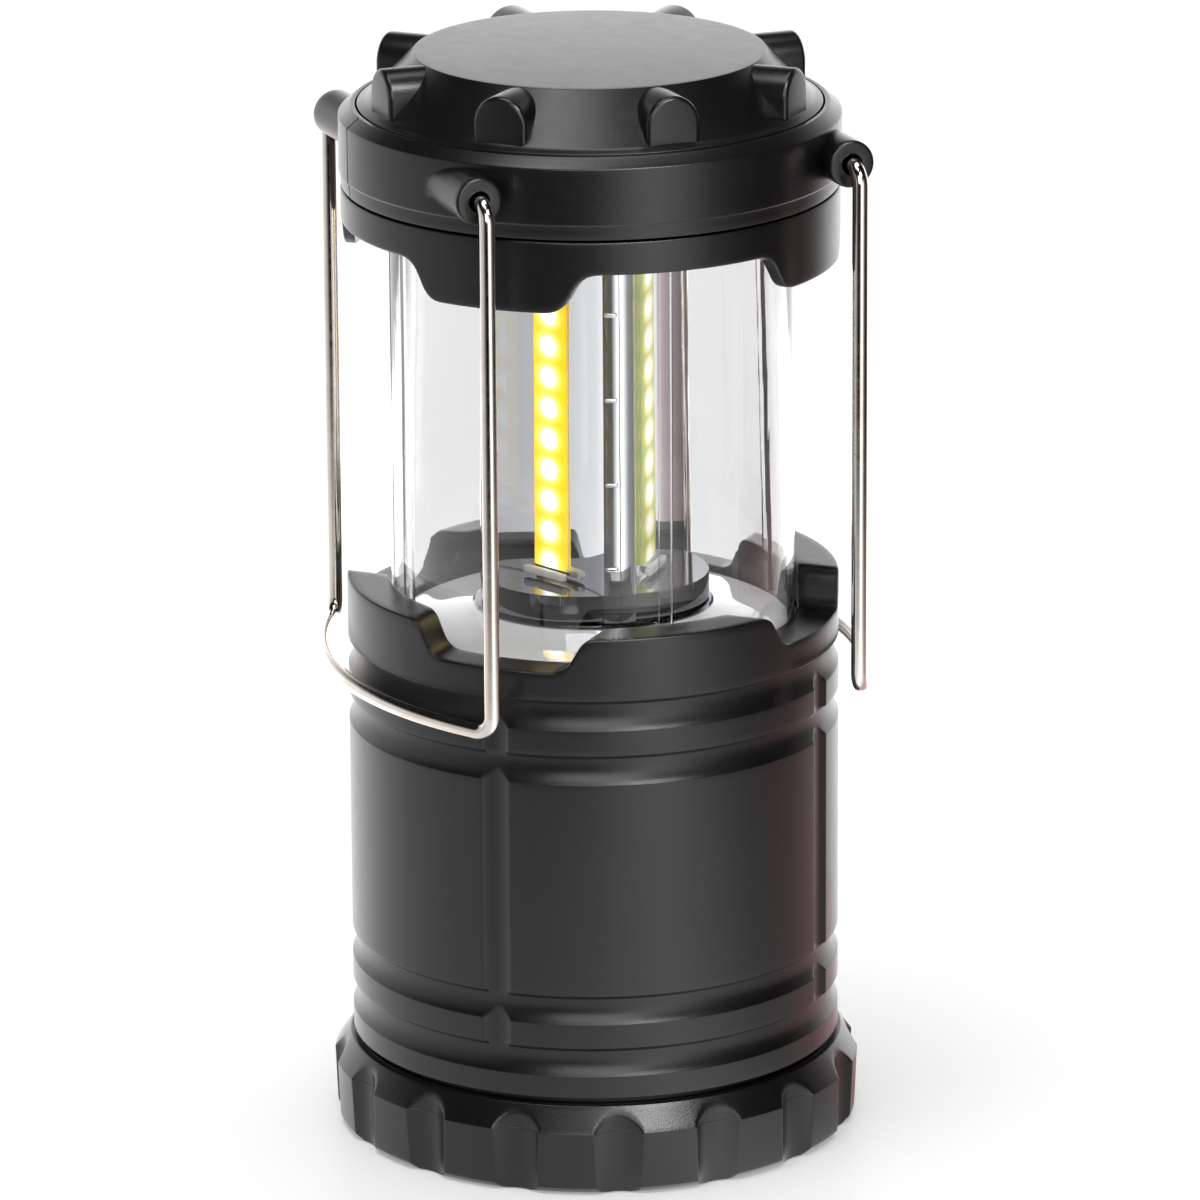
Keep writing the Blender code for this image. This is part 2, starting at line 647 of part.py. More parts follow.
def make_battery_tube():
    ceiling = FLANGE_Z[0] - 0.4
    profile = [(SLEEVE_HOLE_R, FLANGE_Z[1]), (FLANGE_R, FLANGE_Z[1]), (FLANGE_R, FLANGE_Z[0]),
               (SOCKET_R, FLANGE_Z[0]), (SOCKET_R, SOCKET_Z), (SOCKET_BORE_R, SOCKET_Z),
               (SOCKET_BORE_R, BAYONET_Z[0]), (BAYONET_R, BAYONET_Z[0]),
               (BAYONET_R, BAYONET_Z[1]), (SOCKET_BORE_R, BAYONET_Z[1]),
               (SOCKET_BORE_R, ceiling), (SLEEVE_HOLE_R, ceiling)]
    tube = turned("battery_tube", profile, "part_black", HEAD, steps=36)
    sleeve = prism("tube_sleeve", [lobed_outline(TUBE_OUT_R)], *TUBE_Z, None)
    boolean(tube, sleeve, 'UNION')
    bore = prism("tube_bore", [lobed_outline(TUBE_BORE_R)], SOCKET_Z - OVERCUT, TUBE_ROOF_Z, None)
    boolean(tube, bore, 'DIFFERENCE')
    cuts = []
    for i, angle in enumerate(PILLAR_ANGLES):
        cuts.append(cylinder(f"tube_hole_{i}", SCREW_HOLE_R, FLANGE_Z[0] - OVERCUT,
                             FLANGE_Z[1] + OVERCUT, direction(angle) * SCREW_RING_R, None,
                             steps=HOLE_STEPS))
    for i, angle in enumerate(CELL_ANGLES):
        entry = direction(angle + LOCK_TURN) * LUG_ENTRY_R
        entry.z = DOOR_Z[0]
        cuts.append(box(f"door_entry_{i}", LUG_ENTRY_SIZE, entry, None, angle=angle + LOCK_TURN))
    roof = (TUBE_ROOF_Z - OVERCUT, TUBE_Z[1] + OVERCUT)
    cuts.append(cylinder("roof_hole_rod", ROD_R + 0.45, *roof, (0, 0), None, steps=HOLE_STEPS))
    cuts.append(cylinder("roof_hole_lead", LEAD_R + 0.4, *roof,
                         direction(CELL_ANGLES[0]) * POSITIVE_HOLE_AT, None, steps=HOLE_STEPS))
    cuts.append(cylinder("flange_lead_hole", LEAD_HOLE_R, FLANGE_Z[0] - OVERCUT,
                         FLANGE_Z[1] + OVERCUT, direction(SWITCH_ANGLE) * LEAD_HOLE_AT, None,
                         steps=HOLE_STEPS))
    boolean(tube, gathered("tube_cuts", cuts), 'DIFFERENCE')
    width, depth = TUBE_FLAT_SIZE
    flat_height = TUBE_Z[1] + OVERCUT - TUBE_FLAT_Z
    flats = []
    for i, angle in enumerate(TROUGH_ANGLES):
        centre = direction(angle) * (TUBE_FLAT + depth / 2)
        centre.z = TUBE_FLAT_Z + flat_height / 2
        flats.append(box(f"tube_flat_{i}", (width, depth, flat_height), centre, None, angle=angle))
    for flat in flats:
        boolean(tube, flat, 'DIFFERENCE')


def make_cell(number, angle, nub_up):
    low = CELL_LOW if nub_up else LINK_CELL_LOW
    place = direction(angle) * CELL_RING_R
    nub_r, nub_height = CELL_NUB
    body = CELL_LEN - nub_height
    outline = [(0, CELL_LEN), (nub_r, CELL_LEN), (nub_r, body + 0.1), (CELL_R - 0.65, body),
               (CELL_R, body - 0.5), (CELL_R, 0.3), (CELL_R - 0.35, 0), (0, 0)]
    if not nub_up:
        outline = [(radius, CELL_LEN - height) for radius, height in reversed(outline)]
    turned(f"battery_{number}", outline, "cell_wrap", HEAD, steps=20, at=(place.x, place.y, low))


def make_spring(number, angle, low, parent):
    """Conical contact spring, wide at its plate and narrow at the cell."""
    place = direction(angle) * CELL_RING_R
    turns, per_turn, height, wire_r = 2.5, 9, 2.4, 0.25
    foot_r, tip_r = 2.7, 1.6
    count = int(turns * per_turn)
    points = []
    for i in range(count + 1):
        share = i / count
        reach = foot_r + (tip_r - foot_r) * share
        turn = 2 * math.pi * turns * share
        points.append((place.x + reach * math.cos(turn), place.y + reach * math.sin(turn),
                       low + 0.3 + height * share))
    wire(f"contact_spring_{number}", points, wire_r, "spring_steel", parent, sides=1)


def tab_outline(angles, pad):
    """Contact plate: a round pad at each angle, joined by its hull, as (x, y)."""
    points = []
    for angle in angles:
        place = direction(angle) * CELL_RING_R
        points += arc((place.x, place.y), pad, 0, 2 * math.pi, 12)[:-1]
    return hull(points)


def hull(points):
    """Convex outline round the points."""
    points = sorted(points)

    def half(sequence):
        chain = []
        for point in sequence:
            while len(chain) > 1 and cross(chain[-2], chain[-1], point) <= 1e-9:
                chain.pop()
            chain.append(point)
        return chain[:-1]

    return half(points) + half(points[::-1])


def cross(a, b, c):
    return (b[0] - a[0]) * (c[1] - a[1]) - (b[1] - a[1]) * (c[0] - a[0])


def make_battery_contents():
    front, right, left = CELL_ANGLES
    for number, (angle, nub_up) in enumerate(((front, True), (right, False), (left, True)), start=1):
        make_cell(number, angle, nub_up)
    plate_low = DOOR_Z[1] + GAP
    top_low = CELL_LOW + CELL_LEN + GAP
    top_pad, door_pad = CONTACT_PAD_R
    prism("top_positive_plate", [tab_outline([front], top_pad)], top_low, top_low + CONTACT_T,
          "spring_steel", HEAD)
    prism("top_link_plate", [tab_outline([right, left], top_pad)], top_low, top_low + CONTACT_T,
          "spring_steel", HEAD)
    prism("door_link_plate", [tab_outline([front, right], door_pad)], plate_low,
          plate_low + CONTACT_T, "spring_steel", DOOR)
    place = direction(left) * CELL_RING_R
    inner = place * 0.12
    tongue = hull(arc((place.x, place.y), door_pad, 0, 2 * math.pi, 12)
                  + arc((inner.x, inner.y), 0.7, 0, 2 * math.pi, 8))
    prism("door_negative_plate", [tongue], plate_low, plate_low + CONTACT_T, "spring_steel", DOOR)
    make_spring(1, front, plate_low + CONTACT_T + 0.25, DOOR)
    make_spring(2, right, LINK_CELL_LOW + CELL_LEN + 0.25, HEAD)
    make_spring(3, left, plate_low + CONTACT_T + 0.25, DOOR)
    cylinder("centre_rod", ROD_R, plate_low + CONTACT_T + GAP, BOARD_Z[0] - GAP, (0, 0), "brass",
             HEAD, steps=10)
    start = direction(front) * POSITIVE_HOLE_AT + Vector((0, 0, top_low + CONTACT_T + GAP))
    end = direction(front) * (POSITIVE_HOLE_AT - 1.0) + Vector((0, 0, BOARD_Z[0] - GAP))
    bow = direction(front) * 2.0
    route = [start.lerp(end, share) + bow * math.sin(math.pi * share) ** 2
             for share in (0, 0.08, 0.2, 0.35, 0.5, 0.65, 0.8, 0.92, 1)]
    wire("positive_lead", route, LEAD_R, "red_lead", HEAD)


def make_door():
    low, high = DOOR_Z
    profile = [(0, high), (DOOR_R - 0.3, high), (DOOR_R, high - 0.3), (DOOR_R, low), (0, low)]
    door = turned("battery_door", profile, "part_black", DOOR, steps=36)
    lugs = []
    for i, angle in enumerate(CELL_ANGLES):
        centre = direction(angle) * DOOR_R
        centre.z = LUG_Z
        lugs.append(box(f"door_lug_{i}", LUG_SIZE, centre, None, angle=angle))
    boolean(door, gathered("door_lugs", lugs), 'UNION')
    slot = box("door_slot", COIN_SLOT_SIZE, (0, 0, low), None)
    boolean(door, slot, 'DIFFERENCE')


def make_screw(name, angle, ring, head_low, head_h, tip_high, parent):
    """Pan-head self-tapping screw, head down, with a driver recess."""
    place = direction(angle) * ring
    top = head_low + head_h
    tip_r, tip_length = SCREW_TIP
    recess_r, recess_depth = SCREW_RECESS
    profile = [(0, tip_high), (tip_r, tip_high), (SCREW_R, tip_high - tip_length), (SCREW_R, top),
               (SCREW_HEAD_R, top), (SCREW_HEAD_R, head_low + 0.5), (SCREW_HEAD_R - 0.6, head_low),
               (recess_r, head_low), (recess_r - 0.2, head_low + recess_depth),
               (0, head_low + recess_depth)]
    turned(name, profile, "zinc_screw", parent, steps=12, at=(place.x, place.y, 0))


def make_fasteners():
    for i, angle in enumerate(PILLAR_ANGLES, start=1):
        make_screw(f"tube_screw_{i}", angle, SCREW_RING_R, 76.0, 1.7, 82.8, HEAD)
        make_screw(f"cap_screw_{i}", angle, PILLAR_RING_R, 160.8, 1.6, 170.4, HEAD)


# ---------------------------------------------------------------- limit switch
def make_switch():
    out = direction(SWITCH_ANGLE)
    centre = out * SWITCH_R
    low = SWITCH_Z - SWITCH_SIZE[2] / 2
    body = box("limit_switch", SWITCH_SIZE, (centre.x, centre.y, SWITCH_Z), "part_black", HEAD,
               SWITCH_ANGLE, bevel=0.4)
    hole = cylinder("switch_hole", SWITCH_BORE_R, low - OVERCUT, SWITCH_Z - 0.2, centre, None)
    boolean(body, hole, 'DIFFERENCE')
    profile = [(0, 74.2), (1.2, 74.2), (1.45, 73.9), (1.45, 66.6), (2.2, 66.2), (2.2, 64.7),
               (1.7, PLUNGER_TIP_Z), (0, PLUNGER_TIP_Z)]
    turned("switch_plunger", profile, "white_board", HEAD, steps=SMALL_STEPS,
           at=(centre.x, centre.y, 0))
    start = (SWITCH_R - SWITCH_SIZE[1] / 2 - GAP, SWITCH_Z + 0.2)
    stations = (start, (LEAD_HOLE_AT + 2.4, 76.4), (LEAD_HOLE_AT + 0.7, 76.6),
                (LEAD_HOLE_AT, 77.4), (LEAD_HOLE_AT, 80.0), (LEAD_HOLE_AT - 0.2, 83.0),
                (LEAD_FIN_AT + 1.1, 85.2), (LEAD_FIN_AT, 87.2), (LEAD_FIN_AT - 0.2, 92.0),
                (LEAD_FIN_AT - 0.4, 110.0), (LEAD_FIN_AT - 0.5, 135.0), (LEAD_FIN_AT - 0.7, 158.0),
                (LEAD_FIN_AT - 1.4, 161.5), (LEAD_FIN_AT - 1.7, BOARD_Z[0] - GAP))
    route = [out * reach + Vector((0, 0, height)) for reach, height in stations]
    wire("switch_lead", route, LEAD_R, "black_lead", HEAD)


# ---------------------------------------------------------------- skirt, collar, cap and handles
def lobe_gap_outline():
    """Space between two lobes, open downwards, as (side, height)."""
    below = LOBE_Z - OVERCUT
    flank = []
    for share, height in ease(SKIRT_EDGE_Z, LOBE_Z, 6):
        flank.append((LOBE_GAP_TOP_HALF + (LOBE_GAP_FOOT_HALF - LOBE_GAP_TOP_HALF) * share, height))
    right = flank + [(LOBE_GAP_FOOT_HALF, below)]
    left = [(-x, z) for x, z in reversed(right)]
    return left + right


def make_skirt():
    step_r, step_z = SKIRT_STEP
    under = LENS_Z[1] + GAP
    profile = [(SKIRT_HOLE_R, step_z), (step_r, step_z), (step_r, SKIRT_TOP_Z),
               (SKIRT_R - 0.3, SKIRT_TOP_Z), (SKIRT_R, SKIRT_TOP_Z - 0.3), (SKIRT_R, LOBE_Z),
               (SKIRT_IN_R, LOBE_Z), (SKIRT_IN_R, under), (SKIRT_HOLE_R, under)]
    skirt = turned("skirt", profile, "black_plastic", HEAD)
    inside, outside = LENS_R - OVERCUT, SKIRT_R + OVERCUT
    gaps = [prism(f"lobe_gap_{i}", [lobe_gap_outline()], inside, outside, None,
                  matrix=radial(i * math.pi / 2)) for i in range(4)]
    boolean(skirt, gathered("lobe_gap_cutter", gaps), 'DIFFERENCE')
    bores = []
    sinks = []
    for i, angle in enumerate(PILLAR_ANGLES):
        place = direction(angle) * PILLAR_RING_R
        bores.append(cylinder(f"skirt_bore_{i}", SCREW_HOLE_R, under - OVERCUT, step_z + OVERCUT,
                              place, None, steps=HOLE_STEPS))
        sinks.append(cylinder(f"skirt_sink_{i}", SCREW_HEAD_R + 0.4, under - OVERCUT,
                              SKIRT_TOP_Z + 0.6, place, None, steps=HOLE_STEPS))
    boolean(skirt, gathered("skirt_bores", bores), 'DIFFERENCE')
    boolean(skirt, gathered("skirt_sinks", sinks), 'DIFFERENCE')


def make_collar():
    low, high = COLLAR_Z
    step_low, step_high = COLLAR_STEP_Z
    profile = [(COLLAR_IN_R, COLLAR_TOP_Z), (COLLAR_R - COLLAR_BEVEL, COLLAR_TOP_Z),
               (COLLAR_R, high), (COLLAR_R, step_high), (COLLAR_R - 0.25, step_low),
               (COLLAR_FOOT_R, low), (COLLAR_IN_R, low)]
    collar = turned("collar", profile, "black_plastic", HEAD)
    bosses = []
    holes = []
    for i, (side, end) in enumerate(((-1, -1), (-1, 1), (1, -1), (1, 1))):
        frame = Matrix(((1, 0, 0), (0, 0, end), (0, -end, 0))).to_4x4()
        frame.translation = Vector((side * HINGE_X, 0, HINGE_Z)) * MM
        bosses.append(cylinder(f"boss_{i}", BOSS_R, BOSS_ROOT_Y, BOSS_FACE_Y, (0, 0), None,
                               frame=frame))
        holes.append(cylinder(f"boss_hole_{i}", BOSS_HOLE_R, BOSS_HOLE_FLOOR_Y,
                              BOSS_FACE_Y + OVERCUT, (0, 0), None, steps=HOLE_STEPS, frame=frame))
    boolean(collar, gathered("bosses", bosses), 'UNION')
    keep_clear = cylinder("collar_bore", COLLAR_IN_R + 0.02, low - OVERCUT, COLLAR_TOP_Z + OVERCUT,
                          (0, 0), None, steps=RING_STEPS)
    boolean(collar, keep_clear, 'DIFFERENCE')
    boolean(collar, gathered("boss_holes", holes), 'DIFFERENCE')


def make_handle(name, side):
    """Wire bail: in from both hinge holes, down two legs and round the body at the bottom."""
    half = [(WIRE_END_Y, HINGE_Z), (LEG_Y - CORNER_R, HINGE_Z)]
    half += arc((LEG_Y - CORNER_R, HINGE_Z - CORNER_R), CORNER_R, math.pi / 2, 0, 3)[1:]
    points = [Vector((HINGE_X, -y, z)) for y, z in half]
    points += [Vector((HINGE_X, -LEG_Y, 125.0))]
    sag = HANDLE_BOW_X - HINGE_X
    bow_r = (LEG_Y * LEG_Y + sag * sag) / (2 * sag)
    reach = math.asin(LEG_Y / bow_r)
    centre_x = HANDLE_BOW_X - bow_r
    tangent = Vector((math.sin(reach), math.cos(reach), 0))
    corner = Vector((HINGE_X, -LEG_Y, HANDLE_FOOT_Z))
    for turn in (0, 30, 60, 90):
        swing = math.radians(turn)
        points.append(corner + Vector((0, 0, CORNER_R * (1 - math.sin(swing))))
                      + tangent * CORNER_R * (1 - math.cos(swing)))
    first = -reach + CORNER_R / bow_r
    bow_steps = 12
    for i in range(1, bow_steps):
        angle = first * (1 - 2 * i / bow_steps)
        points.append(Vector((centre_x + bow_r * math.cos(angle), bow_r * math.sin(angle),
                              HANDLE_FOOT_Z)))
    mirrored = [Vector((point.x, -point.y, point.z)) for point in points[:-(bow_steps - 1)]]
    points += mirrored[::-1]
    points = [Vector((side * point.x, point.y, point.z)) for point in points]
    wire(name, points, WIRE_R, "nickel_wire", HEAD, sides=3, origin=(side * HINGE_X, 0, HINGE_Z))


def make_cap():
    foot_r, foot_z = CONE_FOOT
    outer = [(0, CROWN_Z), (DISK_R - 0.5, DISK_Z + 0.05), (DISK_R, DISK_Z - 0.35), CONE_FOOT,
             (CAP_R, CAP_LEDGE_Z), (CAP_R, COLLAR_Z[0]), (0, COLLAR_Z[0])]
    cap = turned("top_cap", outer, "black_plastic", HEAD)
    low = CAP_LEDGE_Z + 0.2
    arch = [(-KNOB_HALF, low), (KNOB_HALF, low)]
    arch += arc((0, KNOB_TOP_Z - KNOB_HALF), KNOB_HALF, 0, math.pi, 10)
    knobs = [prism(f"knob_{i}", [arch], KNOB_ROOT_R, KNOB_FACE_R, None,
                   matrix=radial(i * 2 * math.pi / KNOBS)) for i in range(KNOBS)]
    boolean(cap, gathered("knobs", knobs), 'UNION')
    inner_r = CAP_R - CAP_WALL
    below = COLLAR_Z[0] - OVERCUT
    inner = [(0, CROWN_Z - CAP_WALL), (DISK_R - 3.2, DISK_Z - CAP_WALL),
             (foot_r - 2.9, foot_z - CAP_WALL), (inner_r, CAP_LEDGE_Z - CAP_WALL),
             (inner_r, below), (0, below)]
    boolean(cap, turned("cap_hollow", inner, None), 'DIFFERENCE')
    bore_r, bore_top = PILLAR_BORE
    pillars = []
    bores = []
    for i, angle in enumerate(PILLAR_ANGLES):
        place = direction(angle) * PILLAR_RING_R
        pillars.append(cylinder(f"pillar_{i}", PILLAR_R, *PILLAR_Z, place, None, steps=14))
        bores.append(cylinder(f"pillar_bore_{i}", bore_r, PILLAR_Z[0] - OVERCUT, bore_top, place,
                              None, steps=HOLE_STEPS))
    boolean(cap, gathered("pillars", pillars), 'UNION')
    boolean(cap, gathered("pillar_bores", bores), 'DIFFERENCE')


def make_driver():
    cylinder("driver_board", BOARD_R, *BOARD_Z, (0, 0), "green_board", HEAD, steps=36)
    top = BOARD_Z[1] + GAP
    coil = [(0, top + 4.6), (3.2, top + 4.6), (3.6, top + 4.2), (3.6, top + 3.4), (2.9, top + 3.0),
            (2.9, top + 1.4), (3.6, top + 1.0), (3.6, top + 0.2), (3.4, top), (0, top)]
    turned("inductor", coil, "part_black", HEAD, steps=20, at=(9, 6, 0))
    can = [(0, top + 7.0), (2.2, top + 7.0), (2.5, top + 6.7), (2.5, top), (0, top)]
    turned("capacitor", can, "spring_steel", HEAD, steps=SMALL_STEPS, at=(-10, 5, 0))
    box("driver_chip", (5.0, 4.0, 1.6), (-1, -9, top + 0.8), "part_black", HEAD, bevel=0.2)


make_body()
make_base()
make_carrier()
make_lens()
make_chamber_floor()
make_column()
make_battery_tube()
make_battery_contents()
make_door()
make_fasteners()
make_switch()
make_skirt()
make_collar()
make_handle("handle_left", -1)
make_handle("handle_right", 1)
make_cap()
make_driver()
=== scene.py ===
import math

import bmesh
import bpy
from mathutils import Matrix, Vector


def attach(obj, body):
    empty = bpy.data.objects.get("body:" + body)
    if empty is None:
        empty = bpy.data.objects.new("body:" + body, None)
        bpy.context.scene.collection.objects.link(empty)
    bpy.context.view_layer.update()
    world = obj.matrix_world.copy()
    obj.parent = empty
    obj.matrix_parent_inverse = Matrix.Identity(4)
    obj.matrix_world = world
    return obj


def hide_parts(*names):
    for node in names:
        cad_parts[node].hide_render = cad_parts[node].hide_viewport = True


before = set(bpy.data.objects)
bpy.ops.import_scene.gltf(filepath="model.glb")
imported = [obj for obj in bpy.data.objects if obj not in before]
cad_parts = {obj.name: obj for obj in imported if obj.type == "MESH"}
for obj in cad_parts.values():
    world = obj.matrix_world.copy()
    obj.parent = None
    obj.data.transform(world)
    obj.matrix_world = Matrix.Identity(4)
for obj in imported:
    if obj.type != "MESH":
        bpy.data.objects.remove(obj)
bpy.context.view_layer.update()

MM = 0.001
TAU = 2 * math.pi

# ---------------------------------------------------------------- sizes, in millimetres
BODY_R = 41.2
LIP_R = 34.3
BORE_R = 38.0
SPIGOT_R = 39.9
RIM_Z = 95.3
RIM_EDGE = 0.9                     # height over which the rim's eased edges keep their shape
LIP_Z = 88.0
SHOULDER_Z = 85.8                  # the notches press the outer wall down to here
SHOULDER_R = 36.0                  # and inside this radius only down to the lip
NECK_Z = 15.7
SPIGOT_Z = 6.5
GROOVE_DEPTH = 1.05
GROOVE_STEP = 0.8                  # height of a groove's slanted step for each mm of its depth
GROOVE_SWEEP = 2.7                 # how late a groove's hollow sweeps out
GROOVE_ROWS = 12
GROOVES = ((84.8, 79.6), (75.4, 70.3), (33.7, 28.7), (24.6, 19.6))
NOTCH_Z = 89.5
NOTCH_HALF = 11.8
LOBE_HALF = 11.56
FLANK_SLOPE = 1.83                 # steepness of the notch and lobe flanks
OUTLINE_END = 30.0                 # half outlines of notch and lobe run out to here
FLUTE_R = 4.4
FLUTE_DEPTH = 0.85
FLUTE_Z = (23.6, 83.4)
FLUTE_FROM_R = 40.2                # the upright flutes cut only what lies outside this
FLUTE_BLEND = 0.12
QUARTERS = [math.radians(45 + 90 * i) for i in range(4)]
FRONTS = [math.radians(90 * i) for i in range(4)]

BASE_R = 44.5
BASE_WIDE_Z = 10.6
BASE_TOP_R = 41.7
BASE_TOP_Z = 14.7
BASE_FLUTES = 16
BASE_FLUTE_R = 5.8
BASE_FLUTE_DEPTH = 1.9
BASE_FLUTE_PHASE = math.radians(5.8)
BASE_FLUTE_STEP = 0.05             # the witness line across each flute
BASE_FLUTE_FROM_R = 41.0
BASE_FLUTE_BLEND = 0.14

SKIRT_R = 41.4
SKIRT_IN_R = 39.4
SKIRT_TOP_Z = 162.1
SKIRT_SHOULDER_Z = 161.2           # the lobes' lift dies out here on the outer wall
SKIRT_CEILING_Z = 160.4            # and here on the inner wall
SKIRT_EDGE_Z = 156.6
LOBE_Z = 150.2

COLLAR_R = 41.65
COLLAR_SEAMS = (math.radians(-94.5), math.radians(85.5))
SEAM_HALF = 0.16                   # half width of a seam line, in degrees
SEAM_DEPTH = 0.2

LENS_R = 33.8
LENS_WALL = 1.5
LENS_Z = (83.3, 160.2)
LENS_RIB = (1.1, 0.9)              # half width and height of the ribs inside the lens
LENS_RIB_TOP = 158.4
FLOOR_Z = 89.0
FLOOR_HEM_Z = 83.4
FLOOR_WALL = 1.3
FLOOR_HOLE_R = 13.3
CEILING_Z = (159.0, 160.2)
DISC_Z = 91.8                      # raised disc that the column stands on
COLUMN_R = 19.4
COLUMN_TURN = -8                   # turn of the column from the front, in degrees
TROUGH_ANGLES = tuple(math.radians(COLUMN_TURN + turn) for turn in (-60, 60, 180))
TIP_R = 18.9
TIP_ANGLE = math.radians(52)
TROUGH_APOTHEM = 9.1
TROUGH_WALL = 0.6
COLUMN_Z = (92.1, 163.0)
LEDGE_Z = 96.5                     # eye-shaped ledge at the foot of each trough
WINDOW_SIZE = (8.5, 6.0, 66.4)     # opening that the light board looks out of
WINDOW_R = 10.6
WINDOW_Z = 130.8
PIP_HEIGHTS = (101.2, 115.4, 129.6, 143.8)   # moulded pips up the left edge of each fin
PIP_SIZE = (2.1, 1.1, 0.85)
PIP_R = 18.95
PIP_TURN = math.radians(56)
PIP_TWIST = math.radians(-10.5)
LIGHT_Z = (98.3, 160.6)
BOARD_SIZE = (7.9, 0.5)
BOARD_R = 8.85
STRIP_SIZE = (7.5, 0.5)
STRIP_R = 9.65
CLIP_SIZE = (9.6, 1.2, 1.3)
CLIP_R = 10.9
CLIP_Z = 97.6
STRIP_LOOKS = (((1.0, 0.66, 0.0), 0.85), ((0.42, 0.52, 0.03), 0.24), ((1.0, 0.66, 0.0), 0.85))
LED_PITCH = 5.13
LED_PHASE = 0.147                  # brings a chip to its place on the strip
LED_SPOT = (2.45, 2.1)             # a glowing spot's reach across the strip and along it
LED_FALL = 1.6                     # how fast a spot fades

HINGE_X = 32.5
HINGE_Z = 169.5
WIRE_R = 1.3
WIRE_CORNER = 3.0
WIRE_END_Y = 28.6
LEG_Y = 37.3
HANDLE_FOOT_Z = 81.0
BOW_X = 44.0

CAP_LEDGE_Z = 176.0
DISK_R = 29.1
DISK_Z = 184.55
CROWN_Z = 184.9
KNOBS = 8
PILLAR_R = 28.0
PILLAR_ANGLES = (math.radians(30), math.radians(150), math.radians(270))
SHARP_ANGLE = math.radians(38)


# ---------------------------------------------------------------- shape helpers
def direction(angle):
    """Unit vector at an angle from the front (-Y), turning towards +X."""
    return Vector((math.sin(angle), -math.cos(angle), 0.0))


def smooth_min(a, b, blend):
    """Lesser of two values, with the crossing rounded over about blend."""
    share = max(blend - abs(a - b), 0.0) / blend
    return min(a, b) - share * share * blend / 4


def rounded(corners, closed=False, steps=3):
    """Outline through (x, y, fillet) corners, each corner eased over its fillet radius."""
    points = []
    count = len(corners)
    for i, (x, y, fillet) in enumerate(corners):
        here = Vector((x, y))
        at_end = not closed and i in (0, count - 1)
        if fillet <= 0 or at_end:
            points.append((x, y))
            continue
        before = Vector(corners[i - 1][:2]) - here
        after = Vector(corners[(i + 1) % count][:2]) - here
        half = before.angle(after) / 2
        reach = min(fillet / math.tan(half), 0.48 * before.length, 0.48 * after.length)
        start = here + before.normalized() * reach
        end = here + after.normalized() * reach
        for step in range(steps + 1):
            t = step / steps
            point = start * (1 - t) ** 2 + here * 2 * t * (1 - t) + end * t * t
            points.append((point.x, point.y))
    return points


def spaced(points, step, closed=False):
    """The same outline with extra points, so that none are further apart than step."""
    result = []
    ends = points[1:] + (points[:1] if closed else [])
    for start, end in zip(points, ends):
        count = max(1, math.ceil(math.dist(start, end) / step))
        for i in range(count):
            t = i / count
            result.append((start[0] + (end[0] - start[0]) * t, start[1] + (end[1] - start[1]) * t))
    if not closed:
        result.append(points[-1])
    return result


def height_at(outline, x):
    """Height of an outline that runs towards +x, at x."""
    for (x0, y0), (x1, y1) in zip(outline, outline[1:]):
        if x <= x1:
            return y0 + (y1 - y0) * max(0.0, (x - x0) / max(x1 - x0, 1e-9))
    return outline[-1][1]


def nearest(angle, centres):
    """Signed angle from the nearest of the centres."""
    turns = [(angle - centre + math.pi) % TAU - math.pi for centre in centres]
    return min(turns, key=abs)


def angle_set(coarse, centres, bands):
    """Angles round a ring: a coarse step, and finer ones in bands at each centre, in degrees."""
    found = {round(i * coarse, 3) % 360 for i in range(int(360 / coarse))}
    for centre in centres:
        for low, high, step in bands:
            for i in range(int((high - low) / step) + 1):
                for side in (1, -1):
                    found.add(round(math.degrees(centre) + side * (low + i * step), 3) % 360)
    return [math.radians(a) for a in sorted(found)]


def finish_mesh(name, work, body, replaces):
    """Turn bmesh work into a smooth-shaded piece that rides on a body."""
    bmesh.ops.recalc_face_normals(work, faces=work.faces)
    mesh = bpy.data.meshes.new(name)
    work.to_mesh(mesh)
    work.free()
    mesh.shade_smooth()
    mesh.set_sharp_from_angle(angle=SHARP_ANGLE)
    obj = bpy.data.objects.new(name, mesh)
    bpy.context.scene.collection.objects.link(obj)
    if body:
        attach(obj, body)
        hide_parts(*replaces)
    return obj


def ring(angles, shape, closed=True, transform=None):
    """bmesh skin of shape(angle), a list of (radius, height), carried round the axis."""
    work = bmesh.new()
    poles = {}
    columns = []
    for angle in angles:
        column = []
        for index, (radius, height) in enumerate(shape(angle)):
            if radius < 1e-6:
                if index not in poles:
                    poles[index] = work.verts.new((0, 0, height * MM))
                column.append(poles[index])
            else:
                place = direction(angle) * radius
                place.z = height
                column.append(work.verts.new(place * MM))
        columns.append(column)
    count = len(columns[0])
    for near, far in zip(columns, columns[1:] + columns[:1]):
        for i in range(count if closed else count - 1):
            j = (i + 1) % count
            corners = list(dict.fromkeys((near[i], near[j], far[j], far[i])))
            if len(corners) > 2:
                work.faces.new(corners)
    if transform:
        work.transform(transform)
    return work


def even(steps):
    """Equal angles all the way round."""
    return [TAU * i / steps for i in range(steps)]


def turned(name, corners, body, replaces):
    """A turned piece of closed section with eased corners."""
    outline = spaced(rounded(corners, True), 2.0, True)
    return finish_mesh(name, ring(even(192), lambda _: outline), body, replaces)


def flute_radius(turn, radius, depth, reach):
    """Distance to the wall of an upright flute at an angle from its middle, or far outside it."""
    centre = reach - depth + radius
    side = centre * math.sin(turn)
    if abs(side) >= radius or math.cos(turn) < 0:
        return reach + 5
    return centre * math.cos(turn) - math.sqrt(radius * radius - side * side)


